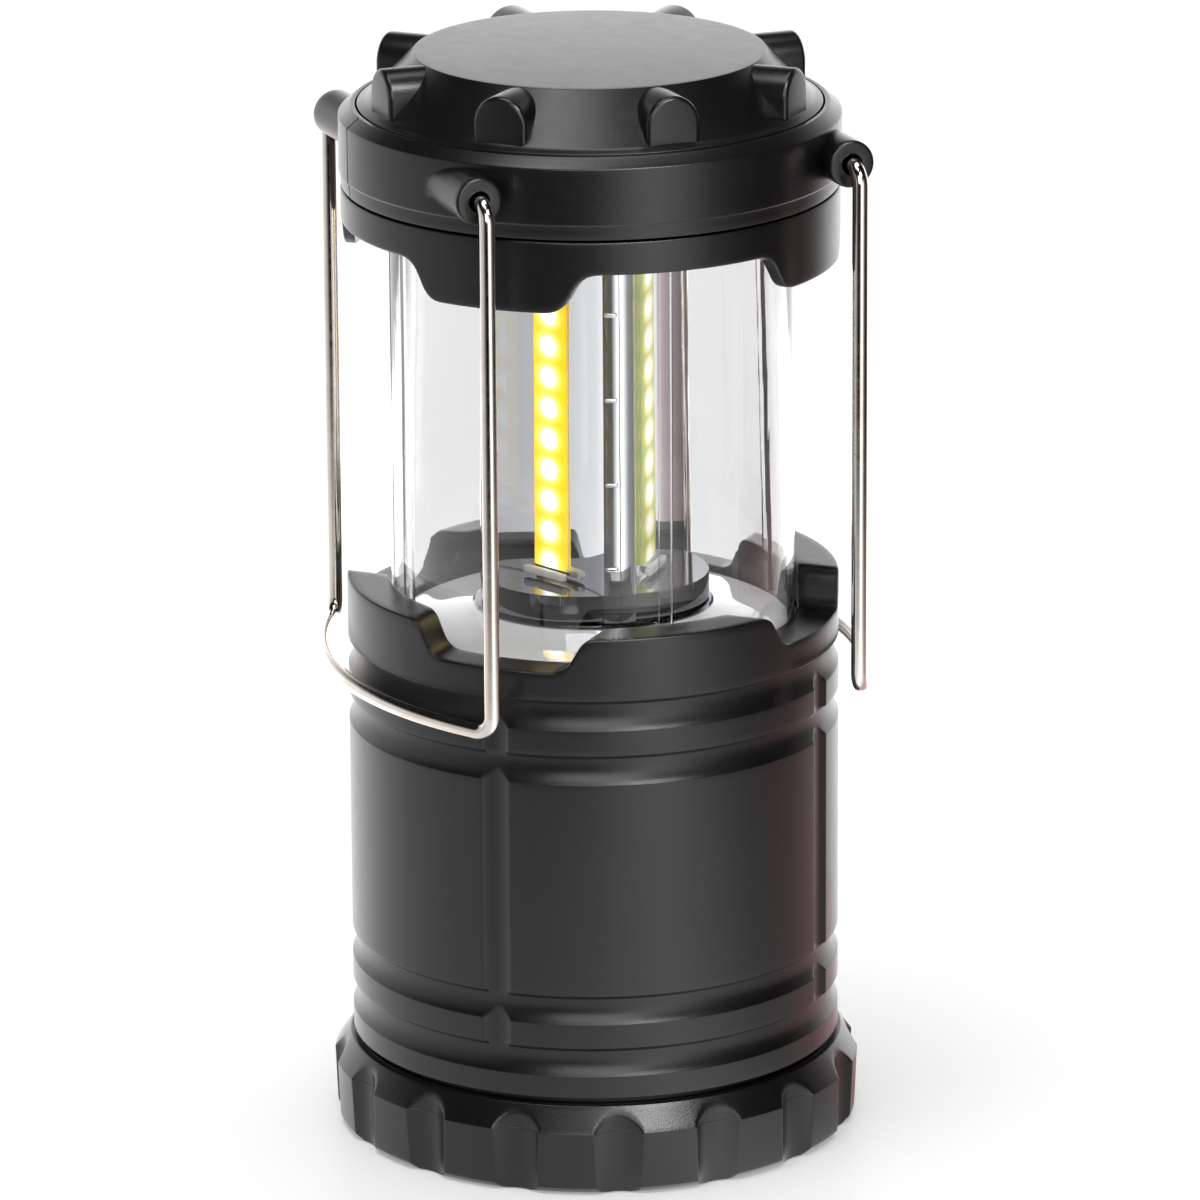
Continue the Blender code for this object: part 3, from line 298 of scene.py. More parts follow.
def boolean(obj, operand, operation):
    """Apply a Boolean with another object, which is then removed."""
    modifier = obj.modifiers.new(operation.lower(), 'BOOLEAN')
    modifier.object = operand
    modifier.operation = operation
    modifier.solver = 'EXACT'
    bpy.context.view_layer.update()
    graph = bpy.context.evaluated_depsgraph_get()
    mesh = bpy.data.meshes.new_from_object(obj.evaluated_get(graph))
    obj.modifiers.clear()
    obj.data = mesh
    bpy.data.objects.remove(operand, do_unlink=True)
    mesh.shade_smooth()
    mesh.set_sharp_from_angle(angle=SHARP_ANGLE)


def merged(works):
    """One bmesh that holds several."""
    total = bmesh.new()
    for work in works:
        mesh = bpy.data.meshes.new("part")
        work.to_mesh(mesh)
        work.free()
        total.from_mesh(mesh)
        bpy.data.meshes.remove(mesh)
    return total


def block(size, matrix, bevel=0.0):
    """bmesh box, its edges eased."""
    work = bmesh.new()
    bmesh.ops.create_cube(work, size=1.0)
    bmesh.ops.scale(work, vec=Vector(size) * MM, verts=work.verts)
    if bevel:
        bmesh.ops.bevel(work, geom=work.edges[:], offset=bevel * MM, segments=3, profile=0.5,
                        affect='EDGES')
    work.transform(matrix)
    return work


def extruded(outline, low, high, matrix):
    """bmesh prism of an (x, y) outline between two heights along the matrix's Z."""
    work = bmesh.new()
    foot = [work.verts.new((x * MM, y * MM, low * MM)) for x, y in outline]
    face = work.faces.new(foot)
    made = bmesh.ops.extrude_face_region(work, geom=[face])
    top = [v for v in made["geom"] if isinstance(v, bmesh.types.BMVert)]
    bmesh.ops.translate(work, verts=top, vec=(0, 0, (high - low) * MM))
    work.transform(matrix)
    bmesh.ops.recalc_face_normals(work, faces=work.faces)
    return work


def radial(angle):
    """Frame whose local Z runs outwards at angle, local X sideways and local Y up."""
    out = direction(angle)
    up = Vector((0, 0, 1))
    return Matrix((up.cross(out), up, out)).transposed().to_4x4()


def trough_frame(angle):
    """Frame whose local X runs outwards at angle, local Y sideways and local Z up."""
    out = direction(angle)
    up = Vector((0, 0, 1))
    return Matrix((out, up.cross(out), up)).transposed().to_4x4()


# ---------------------------------------------------------------- materials
def shader_of(name):
    """New node material with its nodes and links."""
    material = bpy.data.materials.new(name)
    material.use_nodes = True
    return material, material.node_tree.nodes, material.node_tree.links


def noise_node(nodes, links, coordinates, scale, detail=3.0):
    noise = nodes.new("ShaderNodeTexNoise")
    noise.inputs["Scale"].default_value = scale
    noise.inputs["Detail"].default_value = detail
    links.new(coordinates, noise.inputs["Vector"])
    return noise.outputs["Fac"]


def ranged(nodes, links, source, low, high, start=0.3, stop=0.7):
    """Source taken from start..stop to low..high, and held there beyond."""
    node = nodes.new("ShaderNodeMapRange")
    node.inputs["From Min"].default_value = start
    node.inputs["From Max"].default_value = stop
    node.inputs["To Min"].default_value = low
    node.inputs["To Max"].default_value = high
    links.new(source, node.inputs["Value"])
    return node.outputs["Result"]


def tinted(nodes, links, factor, dark, light):
    """Colour that passes from dark to light as the factor grows."""
    ramp = nodes.new("ShaderNodeValToRGB")
    ramp.color_ramp.elements[0].position = 0.3
    ramp.color_ramp.elements[0].color = (*dark, 1)
    ramp.color_ramp.elements[1].position = 0.7
    ramp.color_ramp.elements[1].color = (*light, 1)
    links.new(factor, ramp.inputs["Fac"])
    return ramp.outputs["Color"]


def maths(nodes, links, operation, first, second):
    node = nodes.new("ShaderNodeMath")
    node.operation = operation
    for socket, value in zip(node.inputs, (first, second)):
        if isinstance(value, (int, float)):
            socket.default_value = value
        else:
            links.new(value, socket)
    return node.outputs["Value"]


def position_axes(nodes, links, source):
    """Outputs X, Y and Z of a vector."""
    axes = nodes.new("ShaderNodeSeparateXYZ")
    links.new(source, axes.inputs["Vector"])
    return axes.outputs


def grained(nodes, links, shader, place, rough, grain, cloud):
    """Uneven roughness, and a fine grain given as (scale, strength)."""
    patches = noise_node(nodes, links, place, cloud * 4.3, detail=5.0)
    links.new(ranged(nodes, links, patches, *rough), shader.inputs["Roughness"])
    fine = noise_node(nodes, links, place, grain[0], detail=2.0)
    bump = nodes.new("ShaderNodeBump")
    bump.inputs["Strength"].default_value = grain[1]
    bump.inputs["Distance"].default_value = 0.0002
    links.new(fine, bump.inputs["Height"])
    links.new(bump.outputs["Normal"], shader.inputs["Normal"])


def surface(name, dark, light, rough, metallic=0.0, grain=(2600.0, 0.04), cloud=90.0,
            specular=0.5, coat=0.0):
    """A moulded or rolled surface: colour clouds, uneven roughness and a fine grain."""
    material, nodes, links = shader_of(name)
    shader = nodes["Principled BSDF"]
    shader.inputs["Metallic"].default_value = metallic
    shader.inputs["Specular IOR Level"].default_value = specular
    shader.inputs["Coat Weight"].default_value = coat
    place = nodes.new("ShaderNodeTexCoord").outputs["Object"]
    clouds = noise_node(nodes, links, place, cloud)
    links.new(tinted(nodes, links, clouds, dark, light), shader.inputs["Base Color"])
    grained(nodes, links, shader, place, rough, grain, cloud)
    return material


def mirror_look():
    """Vacuum-metallised plastic: bright, a little wavy, with painted shade darkening the ledges at
    its foot.
    """
    material, nodes, links = shader_of("mirror_skin")
    shader = nodes["Principled BSDF"]
    shader.inputs["Metallic"].default_value = 1.0
    place = nodes.new("ShaderNodeTexCoord").outputs["Object"]
    grained(nodes, links, shader, place, MIRROR_ROUGH, MIRROR_GRAIN, MIRROR_CLOUD)
    # painted shade: the mirror turns a dark tint on and below the ledges' top
    lift = ranged(nodes, links, position_axes(nodes, links, place)["Z"], 0.0, 1.0,
                  (LEDGE_Z + 0.05) * MM, (LEDGE_Z + 0.3) * MM)
    links.new(tinted(nodes, links, lift, PAINTED_FOOT_SHADE, MIRROR_TINT), shader.inputs["Base Color"])
    return material


def floor_look():
    """Mirror darkened by painted shade on the disc under the column; milky gloss and a painted glow
    on the cone around it.
    """
    material, nodes, links = shader_of("floor_skin")
    shader = nodes["Principled BSDF"]
    place = nodes.new("ShaderNodeTexCoord").outputs["Object"]
    grained(nodes, links, shader, place, MIRROR_ROUGH, MIRROR_GRAIN, MIRROR_CLOUD)
    axes = position_axes(nodes, links, place)
    square = maths(nodes, links, 'ADD',
                   maths(nodes, links, 'MULTIPLY', axes["X"], axes["X"]),
                   maths(nodes, links, 'MULTIPLY', axes["Y"], axes["Y"]))
    reach = maths(nodes, links, 'SQRT', square, 0.0)
    cone = ranged(nodes, links, reach, 0.0, 1.0, (COLUMN_R + 0.5) * MM, (COLUMN_R + 0.9) * MM)
    links.new(tinted(nodes, links, cone, PAINTED_FOOT_SHADE, CONE_TINT), shader.inputs["Base Color"])
    links.new(ranged(nodes, links, cone, 1.0, CONE_METAL, 0.0, 1.0), shader.inputs["Metallic"])
    # painted glow: the cone emits light, standing in for spill from the lit strips
    shader.inputs["Emission Color"].default_value = (*CONE_TINT, 1)
    links.new(ranged(nodes, links, cone, 0.0, CONE_PAINTED_GLOW, 0.0, 1.0),
              shader.inputs["Emission Strength"])
    return material


def lens_look():
    """Clear plastic with faint haze and streaks drawn up and down."""
    material, nodes, links = shader_of("clear_lens")
    shader = nodes["Principled BSDF"]
    shader.inputs["IOR"].default_value = 1.47
    shader.inputs["Transmission Weight"].default_value = 1.0
    place = nodes.new("ShaderNodeTexCoord").outputs["Object"]
    clouds = noise_node(nodes, links, place, 40.0)
    links.new(tinted(nodes, links, clouds, (0.885, 0.887, 0.892), (0.895, 0.897, 0.902)),
              shader.inputs["Base Color"])
    haze = noise_node(nodes, links, place, 300.0)
    links.new(ranged(nodes, links, haze, 0.0, 0.02), shader.inputs["Roughness"])
    stretch = nodes.new("ShaderNodeMapping")
    stretch.inputs["Scale"].default_value = (1.0, 1.0, 0.04)
    links.new(place, stretch.inputs["Vector"])
    streaks = noise_node(nodes, links, stretch.outputs["Vector"], 700.0)
    bump = nodes.new("ShaderNodeBump")
    bump.inputs["Strength"].default_value = 0.05
    bump.inputs["Distance"].default_value = 0.0001
    links.new(streaks, bump.inputs["Height"])
    links.new(bump.outputs["Normal"], shader.inputs["Normal"])
    return material


def light_strip_look(number, angle, gel, glow):
    """Yellow phosphor gel with a white-hot spot over each chip, on the strip at this angle."""
    material, nodes, links = shader_of(f"phosphor_{number}")
    shader = nodes["Principled BSDF"]
    shader.inputs["Roughness"].default_value = 0.35
    place = nodes.new("ShaderNodeTexCoord").outputs["Object"]
    turn = nodes.new("ShaderNodeVectorRotate")
    turn.rotation_type = 'Z_AXIS'
    turn.inputs["Angle"].default_value = -angle
    links.new(place, turn.inputs["Vector"])
    axes = position_axes(nodes, links, turn.outputs["Vector"])
    side = maths(nodes, links, 'MULTIPLY', axes["X"], 1 / (LED_SPOT[0] * MM))
    steps = maths(nodes, links, 'DIVIDE', axes["Z"], LED_PITCH * MM)
    steps = maths(nodes, links, 'ADD', steps, LED_PHASE)
    along = maths(nodes, links, 'SUBTRACT', maths(nodes, links, 'FRACT', steps, 0.0), 0.5)
    along = maths(nodes, links, 'MULTIPLY', along, LED_PITCH / LED_SPOT[1])
    square = maths(nodes, links, 'ADD', maths(nodes, links, 'MULTIPLY', side, side),
                   maths(nodes, links, 'MULTIPLY', along, along))
    spot = maths(nodes, links, 'POWER', 2.718, maths(nodes, links, 'MULTIPLY', square, -LED_FALL))
    ramp = nodes.new("ShaderNodeValToRGB")
    stops = ramp.color_ramp.elements
    stops[0].position = 0.0
    stops[0].color = (*gel, 1)
    stops[1].position = 0.6
    stops[1].color = (1.0, 1.0, 0.94, 1)
    middle = stops.new(0.22)
    middle.color = (1.0, 0.86, 0.16, 1)
    links.new(spot, ramp.inputs["Fac"])
    links.new(ramp.outputs["Color"], shader.inputs["Base Color"])
    links.new(ramp.outputs["Color"], shader.inputs["Emission Color"])
    strength = maths(nodes, links, 'MULTIPLY_ADD', spot, glow * 1.6)
    strength.node.inputs[2].default_value = glow
    links.new(strength, shader.inputs["Emission Strength"])
    return material


MIRROR_ROUGH = (0.015, 0.04)
MIRROR_GRAIN = (140.0, 0.05)
MIRROR_CLOUD = 60.0
MIRROR_TINT = (0.865, 0.875, 0.888)
# painted shade: darker mirror tint on the ledges at the troughs' foot and on the disc under the
# column
PAINTED_FOOT_SHADE = (0.28, 0.28, 0.30)
CONE_TINT = (0.95, 0.95, 0.96)
CONE_METAL = 0.4                   # the rest of the cone's look is milky
CONE_PAINTED_GLOW = 0.3                    # painted glow, standing in for spill from the lit strips

BLACK = surface("black_abs", (0.0034, 0.0032, 0.0035), (0.0048, 0.0046, 0.0050), (0.285, 0.315),
                grain=(3400.0, 0.10))
RUBBER = surface("rubber", (0.012, 0.012, 0.012), (0.02, 0.02, 0.02), (0.7, 0.85),
                 grain=(1500.0, 0.2))
MIRROR = mirror_look()
FLOOR_SKIN = floor_look()
NICKEL = surface("nickel_wire", (0.68, 0.62, 0.57), (0.78, 0.72, 0.665), (0.09, 0.17), metallic=1.0,
                 grain=(700.0, 0.03), cloud=250.0)
LENS = lens_look()
WHITE = surface("white_board", (0.78, 0.78, 0.75), (0.86, 0.86, 0.83), (0.4, 0.55))
STEEL = surface("contact_steel", (0.6, 0.6, 0.58), (0.72, 0.71, 0.69), (0.2, 0.35), metallic=1.0,
                grain=(1200.0, 0.1), cloud=200.0)
ZINC = surface("zinc_screw", (0.55, 0.55, 0.53), (0.68, 0.68, 0.66), (0.28, 0.42), metallic=1.0,
               grain=(1800.0, 0.15), cloud=400.0)
GREEN = surface("green_board", (0.012, 0.11, 0.045), (0.02, 0.17, 0.07), (0.3, 0.45), coat=0.3)
PART_BLACK = surface("part_black", (0.018, 0.018, 0.018), (0.026, 0.026, 0.026), (0.42, 0.55))
WRAP = surface("cell_wrap", (0.03, 0.055, 0.11), (0.045, 0.08, 0.15), (0.25, 0.35), coat=0.4)
RED = surface("red_lead", (0.45, 0.015, 0.01), (0.6, 0.03, 0.02), (0.35, 0.5))
DARK_LEAD = surface("black_lead", (0.015, 0.015, 0.015), (0.025, 0.025, 0.025), (0.35, 0.5))
BRASS = surface("brass", (0.62, 0.46, 0.2), (0.74, 0.58, 0.28), (0.22, 0.35), metallic=1.0)


def wear(obj, material):
    """Give a piece its material."""
    obj.data.materials.clear()
    obj.data.materials.append(material)


# ---------------------------------------------------------------- body shell
NOTCH = rounded([(0.0, NOTCH_Z, 0), (NOTCH_HALF, NOTCH_Z, 4.0),
                 (NOTCH_HALF + (RIM_Z - NOTCH_Z) / FLANK_SLOPE, RIM_Z, 2.7),
                 (OUTLINE_END, RIM_Z, 0)], steps=8)
LOBE = rounded([(0.0, LOBE_Z, 0), (LOBE_HALF, LOBE_Z, 4.0),
                (LOBE_HALF + (SKIRT_EDGE_Z - LOBE_Z) / FLANK_SLOPE, SKIRT_EDGE_Z, 4.5),
                (OUTLINE_END, SKIRT_EDGE_Z, 0)], steps=8)


def groove_corners(top, bottom):
    """A slanted step in under top, then a hollow that sweeps out to a crisp edge at bottom."""
    start = top - GROOVE_STEP * GROOVE_DEPTH
    corners = [(BODY_R, top, 0.14)]
    for i in range(GROOVE_ROWS + 1):
        share = i / GROOVE_ROWS
        corners.append((BODY_R - GROOVE_DEPTH * (1 - share ** GROOVE_SWEEP),
                        start - (start - bottom) * share, 0.12 if i == GROOVE_ROWS else 0))
    return corners


def body_corners():
    """Section of the body's wall, with its four grooves."""
    corners = [(LIP_R, RIM_Z, 0.5), (BODY_R, RIM_Z, 0.4)]
    for top, bottom in GROOVES:
        corners += groove_corners(top, bottom)
    corners += [(BODY_R, NECK_Z, 0.3), (SPIGOT_R, NECK_Z, 0), (SPIGOT_R, SPIGOT_Z, 0.3),
                (BORE_R, SPIGOT_Z, 0.3), (BORE_R, LIP_Z, 0), (LIP_R, LIP_Z, 0.3)]
    return corners


def make_body_shell():
    outline = spaced(rounded(body_corners(), True), 1.3, True)

    def shape(angle):
        turn = nearest(angle, QUARTERS)
        wall = flute_radius(turn, FLUTE_R, FLUTE_DEPTH, BODY_R)
        points = []
        for radius, height in outline:
            if radius > FLUTE_FROM_R and FLUTE_Z[0] < height < FLUTE_Z[1]:
                radius = smooth_min(radius, wall, FLUTE_BLEND)
            foot = SHOULDER_Z if radius > SHOULDER_R else LIP_Z + 0.4
            if height > foot:
                drop = RIM_Z - height_at(NOTCH, abs(radius * math.sin(turn)))
                height -= drop * min(1.0, (height - foot) / (RIM_Z - RIM_EDGE - foot))
            points.append((radius, height))
        return points

    angles = angle_set(2.5, QUARTERS, ((0, 4.2, 0.3), (12, 27, 0.75)))
    shell = finish_mesh("body_shell_fine", ring(angles, shape), "body", ["body_shell"])
    wear(shell, BLACK)


def make_base():
    corners = [(0, 3.5, 0), (40.3, 3.5, 0.6), (40.3, BASE_TOP_Z, 0.15),
               (BASE_TOP_R, BASE_TOP_Z, 0.18), (BASE_R, BASE_WIDE_Z, 0.18),
               (BASE_R - 0.4, 1.0, 0.8), (BASE_R - 1.4, 0.0, 0.3), (34.0, 0.0, 0.3),
               (33.2, 1.0, 0.3), (0, 1.0, 0)]
    outline = spaced(rounded(corners), 0.9)
    centres = [BASE_FLUTE_PHASE + TAU * i / BASE_FLUTES for i in range(BASE_FLUTES)]

    def shape(angle):
        turn = nearest(angle, centres)
        wall = flute_radius(turn, BASE_FLUTE_R, BASE_FLUTE_DEPTH, BASE_R)
        points = []
        for radius, height in outline:
            if radius > BASE_FLUTE_FROM_R:
                step = BASE_FLUTE_STEP if height > BASE_WIDE_Z else 0.0
                radius = smooth_min(radius, wall - step, BASE_FLUTE_BLEND)
            points.append((radius, height))
        return points

    angles = angle_set(3.0, centres, ((0, 4.4, 0.55), (4.6, 6.0, 0.2)))
    cap = finish_mesh("base_cap_fine", ring(angles, shape, closed=False), "base", ["base_cap"])
    wear(cap, BLACK)


# ---------------------------------------------------------------- lamp head's outside
def make_skirt():
    corners = [(20.0, 164.3, 0.3), (36.0, 164.3, 0.3), (36.0, SKIRT_TOP_Z, 0),
               (SKIRT_R, SKIRT_TOP_Z, 0.3), (SKIRT_R, LOBE_Z, 0.45), (SKIRT_IN_R, LOBE_Z, 0.3),
               (SKIRT_IN_R, 160.5, 0.5), (20.0, 160.5, 0.3)]
    outline = spaced(rounded(corners, True), 1.2, True)

    def shape(angle):
        turn = nearest(angle, QUARTERS)
        points = []
        for radius, height in outline:
            top = SKIRT_SHOULDER_Z if radius > SKIRT_R - 1.0 else SKIRT_CEILING_Z
            if height < top and radius > SKIRT_IN_R - 0.4:
                lift = height_at(LOBE, abs(radius * math.sin(turn))) - LOBE_Z
                height += lift * min(1.0, (top - height) / (top - LOBE_Z - 0.9))
            points.append((radius, height))
        return points

    angles = angle_set(2.5, QUARTERS, ((11, 28, 0.7),))
    skirt = finish_mesh("skirt_fine", ring(angles, shape), "lamp_head", ["skirt"])
    wear(skirt, BLACK)


def boss(side, end):
    """Hinge boss along Y, with an eased face and a blind hole."""
    outline = spaced(rounded([(0, 17.5, 0), (3.85, 17.5, 0.2), (3.95, 34.0, 0.55), (1.75, 34.0, 0.2),
                              (1.65, 28.0, 0), (0, 28.0, 0)], steps=4), 1.5)
    tilt = Matrix(((1, 0, 0), (0, 0, end), (0, -end, 0))).to_4x4()
    place = Matrix.Translation(Vector((side * HINGE_X, 0, HINGE_Z)) * MM)
    return ring(even(48), lambda _: outline, closed=False, transform=place @ tilt)


def make_collar():
    corners = [(38.8, 175.9, 0.15), (39.6, 175.9, 0.3), (COLLAR_R, 174.25, 0.4),
               (COLLAR_R, 165.05, 0.08), (41.42, 164.75, 0.08), (41.25, 162.4, 0.25),
               (38.8, 162.4, 0)]
    outline = spaced(rounded(corners, True), 1.1, True)

    def shape(angle):
        turn = abs(math.degrees(nearest(angle, COLLAR_SEAMS)))
        cut = SEAM_DEPTH if turn < SEAM_HALF else 0.0
        return [(radius - cut if radius > 39.5 else radius, height) for radius, height in outline]

    angles = angle_set(2.0, COLLAR_SEAMS, ((0, 0.3, 0.15),))
    collar = finish_mesh("collar_fine", ring(angles, shape), "lamp_head", ["collar"])
    bosses = merged([boss(side, end) for side in (-1, 1) for end in (-1, 1)])
    boolean(collar, finish_mesh("bosses", bosses, None, ()), 'UNION')
    bore = ring(even(180), lambda _: [(0, 178), (38.83, 178), (38.83, 158), (0, 158)], closed=False)
    boolean(collar, finish_mesh("collar_bore", bore, None, ()), 'DIFFERENCE')
    wear(collar, BLACK)


def knob(angle):
    """Grip knob: an arch that runs out of the cone to a flat face with an eased edge."""
    half, top, face, edge = 4.65, 184.45, 36.9, 0.85
    foot = CAP_LEDGE_Z - 0.5
    work = bmesh.new()
    rows = [(24.0, 0.0)] + [(face - edge * (1 - math.sin(a)), edge * (1 - math.cos(a)))
                            for a in (math.pi / 2 * i / 6 for i in range(7))]
    loops = []
    spring = top - half
    for out, inset in rows:
        radius = half - inset
        points = [(-radius, foot), (radius, foot), (radius, (foot + top - half) / 2)]
        points += [(radius * math.cos(math.pi * i / 24), spring + radius * math.sin(math.pi * i / 24))
                   for i in range(25)]
        points.append((-radius, (foot + top - half) / 2))
        loops.append([work.verts.new((x * MM, y * MM, out * MM)) for x, y in points])
    for near, far in zip(loops, loops[1:]):
        for i in range(len(near)):
            j = (i + 1) % len(near)
            work.faces.new((near[i], near[j], far[j], far[i]))
    work.faces.new(loops[0])
    work.faces.new(loops[-1])
    work.transform(radial(angle))
    bmesh.ops.recalc_face_normals(work, faces=work.faces)
    return work


def make_top_cap():
    corners = [(DISK_R * i / 6, CROWN_Z - (CROWN_Z - DISK_Z) * (i / 6) ** 2, 0) for i in range(6)]
    corners += [(DISK_R, DISK_Z, 0.25), (37.2, 176.5, 2.2), (38.5, CAP_LEDGE_Z, 0.15),
                (38.5, 162.6, 0.2), (36.5, 162.6, 0.2), (36.5, 174.0, 0.5), (34.4, 174.5, 0.5),
                (26.0, 182.6, 0.5), (0, 182.9, 0)]
    outline = spaced(rounded(corners, steps=4), 1.3)
    cap = finish_mesh("top_cap_fine", ring(even(192), lambda _: outline, closed=False), "lamp_head",
                      ["top_cap"])
    knobs = merged([knob(TAU * i / KNOBS) for i in range(KNOBS)])
    boolean(cap, finish_mesh("knobs", knobs, None, ()), 'UNION')
    pillars = [ring(even(24), lambda _: [(0, 181.8), (3.2, 181.8), (3.2, 164.6), (1.55, 164.6),
                                         (1.55, 171.5), (0, 171.5)], closed=False,
                    transform=Matrix.Translation(direction(angle) * PILLAR_R * MM))
               for angle in PILLAR_ANGLES]
    boolean(cap, finish_mesh("pillars", merged(pillars), None, ()), 'UNION')
    wear(cap, BLACK)


def make_handle(name, node, body, side):
    """Wire bail: in from both hinge holes, down two legs and round the body at the bottom."""
    corner = WIRE_CORNER
    quarter = [math.pi / 2 * i / 10 for i in range(11)]
    half = [Vector((HINGE_X, -WIRE_END_Y, HINGE_Z))]
    half += [Vector((HINGE_X, -(LEG_Y - corner + corner * math.sin(swing)),
                     HINGE_Z - corner + corner * math.cos(swing))) for swing in quarter]
    half += [Vector((HINGE_X, -LEG_Y, HINGE_Z - corner + (HANDLE_FOOT_Z - HINGE_Z + 2 * corner) * t))
             for t in (0.1, 0.3, 0.5, 0.7, 0.9)]
    sag = BOW_X - HINGE_X
    bow_r = (LEG_Y * LEG_Y + sag * sag) / (2 * sag)
    reach = math.asin(LEG_Y / bow_r)
    tangent = Vector((math.sin(reach), math.cos(reach), 0))
    foot = Vector((HINGE_X, -LEG_Y, HANDLE_FOOT_Z))
    for swing in quarter:
        half.append(foot + Vector((0, 0, corner * (1 - math.sin(swing))))
                    + tangent * corner * (1 - math.cos(swing)))
    first = reach - corner / bow_r
    bow = []
    for i in range(1, 40):
        angle = first * (2 * i / 40 - 1)
        bow.append(Vector((BOW_X - bow_r + bow_r * math.cos(angle), bow_r * math.sin(angle),
                           HANDLE_FOOT_Z)))
    points = half + bow + [Vector((p.x, -p.y, p.z)) for p in reversed(half)]
    curve = bpy.data.curves.new(name, 'CURVE')
    curve.dimensions = '3D'
    curve.bevel_depth = WIRE_R * MM
    curve.bevel_resolution = 6
    curve.use_fill_caps = True
    spline = curve.splines.new('POLY')
    spline.points.add(len(points) - 1)
    for point, place in zip(spline.points, points):
        point.co = (side * place.x * MM, place.y * MM, place.z * MM, 1)
    guide = bpy.data.objects.new(name + "_guide", curve)
    bpy.context.scene.collection.objects.link(guide)
    bpy.context.view_layer.update()
    graph = bpy.context.evaluated_depsgraph_get()
    mesh = bpy.data.meshes.new_from_object(guide.evaluated_get(graph))
    bpy.data.objects.remove(guide, do_unlink=True)
    work = bmesh.new()
    work.from_mesh(mesh)
    bmesh.ops.remove_doubles(work, verts=work.verts, dist=1e-6)
    wear(finish_mesh(name, work, body, [node]), NICKEL)


# ---------------------------------------------------------------- light chamber
def make_lens():
    inner = LENS_R - LENS_WALL
    low, high = LENS_Z
    corners = [(inner, high, 0.2), (LENS_R, high, 0.2), (LENS_R, low, 0.2), (inner, low, 0.2)]
    outline = rounded(corners, True)
    rib_low, rib_high = FLOOR_Z + 0.6, LENS_RIB_TOP
    outline += [(inner, z)
                for z in (rib_low - 0.05, rib_low + 0.05, rib_high - 0.05, rib_high + 0.05)]
    rib_half, rib_in = LENS_RIB

    def shape(angle):
        turn = nearest(angle, FRONTS)
        side = abs(inner * math.sin(turn))
        rib = rib_in * min(1.0, max(0.0, (rib_half - side) / 0.16 + 0.5))
        return [(radius - rib if rib_low < height < rib_high and radius < inner + 0.01 else radius,
                 height) for radius, height in outline]

    angles = angle_set(1.5, FRONTS, ((0, 1.7, 0.34), (1.8, 2.2, 0.1)))
    lens = finish_mesh("lens_fine", ring(angles, shape), "lamp_head", ["lens"])
    wear(lens, LENS)


def make_chamber_ends():
    """The mirrored floor, with the disc that the column stands on, and the ring above."""
    outer = LENS_R - LENS_WALL - 0.3
    floor = turned("chamber_floor_fine",
                   [(FLOOR_HOLE_R, DISC_Z, 0.2), (COLUMN_R + 0.3, DISC_Z, 0.3),
                    (COLUMN_R + 0.7, DISC_Z - 0.6, 0.2), (outer, FLOOR_Z, 0.3),
                    (outer, FLOOR_HEM_Z, 0.2), (outer - FLOOR_WALL, FLOOR_HEM_Z, 0.2),
                    (outer - FLOOR_WALL, FLOOR_Z - FLOOR_WALL, 0.4),
                    (FLOOR_HOLE_R, FLOOR_Z - FLOOR_WALL, 0.2)],
                   "lamp_head", ["chamber_floor"])
    wear(floor, FLOOR_SKIN)
    low, high = CEILING_Z
    ceiling = turned("chamber_ceiling_fine",
                     [(COLUMN_R + 0.6, high, 0.2), (outer, high, 0.2), (outer, low, 0.3),
                      (COLUMN_R + 0.6, low, 0.3)], "lamp_head", ["chamber_ceiling"])
    wear(ceiling, MIRROR)


def arc_past(x, half, apex, steps):
    """Arc from (x, half) to (x, -half) past (apex, 0)."""
    rise = apex - x
    radius = (half * half + rise * rise) / (2 * rise)
    centre = apex - radius
    reach = math.asin(half / abs(radius))
    sign = 1 if radius > 0 else -1
    return [(centre + sign * abs(radius) * math.cos(reach * (1 - 2 * i / steps)),
             abs(radius) * math.sin(reach * (1 - 2 * i / steps))) for i in range(steps + 1)]


def trough_outline():
    """One third of the column's mirror skin, as (out, side)."""
    tip_x, tip_y = TIP_R * math.cos(TIP_ANGLE), TIP_R * math.sin(TIP_ANGLE)
    middle = math.pi / 3
    half_fin = middle - TIP_ANGLE
    rise = COLUMN_R - TIP_R * math.cos(half_fin)
    run = TIP_R * math.sin(half_fin)
    crown = (run * run + rise * rise) / (2 * rise)
    centre = ((COLUMN_R - crown) * math.cos(middle), (COLUMN_R - crown) * math.sin(middle))
    sweep = math.asin(run / crown)
    seam = 0.08 / crown

    def fin(radius, end):
        turns = [middle - seam - (end - seam) * i / 10 for i in range(11)]
        return [(centre[0] + radius * math.cos(turn), centre[1] + radius * math.sin(turn))
                for turn in turns]

    outer = fin(crown, sweep)
    inner = fin(crown - TROUGH_WALL, sweep * 0.86)
    face = arc_past(tip_x, tip_y, TROUGH_APOTHEM, 36)
    scale = (tip_y - 1.6) / tip_y
    back = [(x - TROUGH_WALL, y * scale) for x, y in face]
    return (outer[:-1] + face + [(x, -y) for x, y in reversed(outer[:-1])]
            + [(x, -y) for x, y in inner] + back[::-1] + inner[::-1])


def foot_outline():
    """Eye-shaped ledge at the bottom of a trough, as (out, side)."""
    tip_x, tip_y = TIP_R * math.cos(TIP_ANGLE) - 0.5, TIP_R * math.sin(TIP_ANGLE) - 0.55
    front = arc_past(tip_x, tip_y, COLUMN_R, 28)
    back = arc_past(tip_x, tip_y, TROUGH_APOTHEM - TROUGH_WALL / 2, 20)
    return front + back[::-1][1:-1]


def block_at(size, angle, radius, height, turn, bevel=0.0):
    """Block whose middle is at an angle, radius and height, itself turned about Z by turn."""
    place = Vector((0, 0, height)) + direction(angle) * radius
    return block(size, Matrix.Translation(place * MM) @ Matrix.Rotation(turn, 4, 'Z'), bevel)


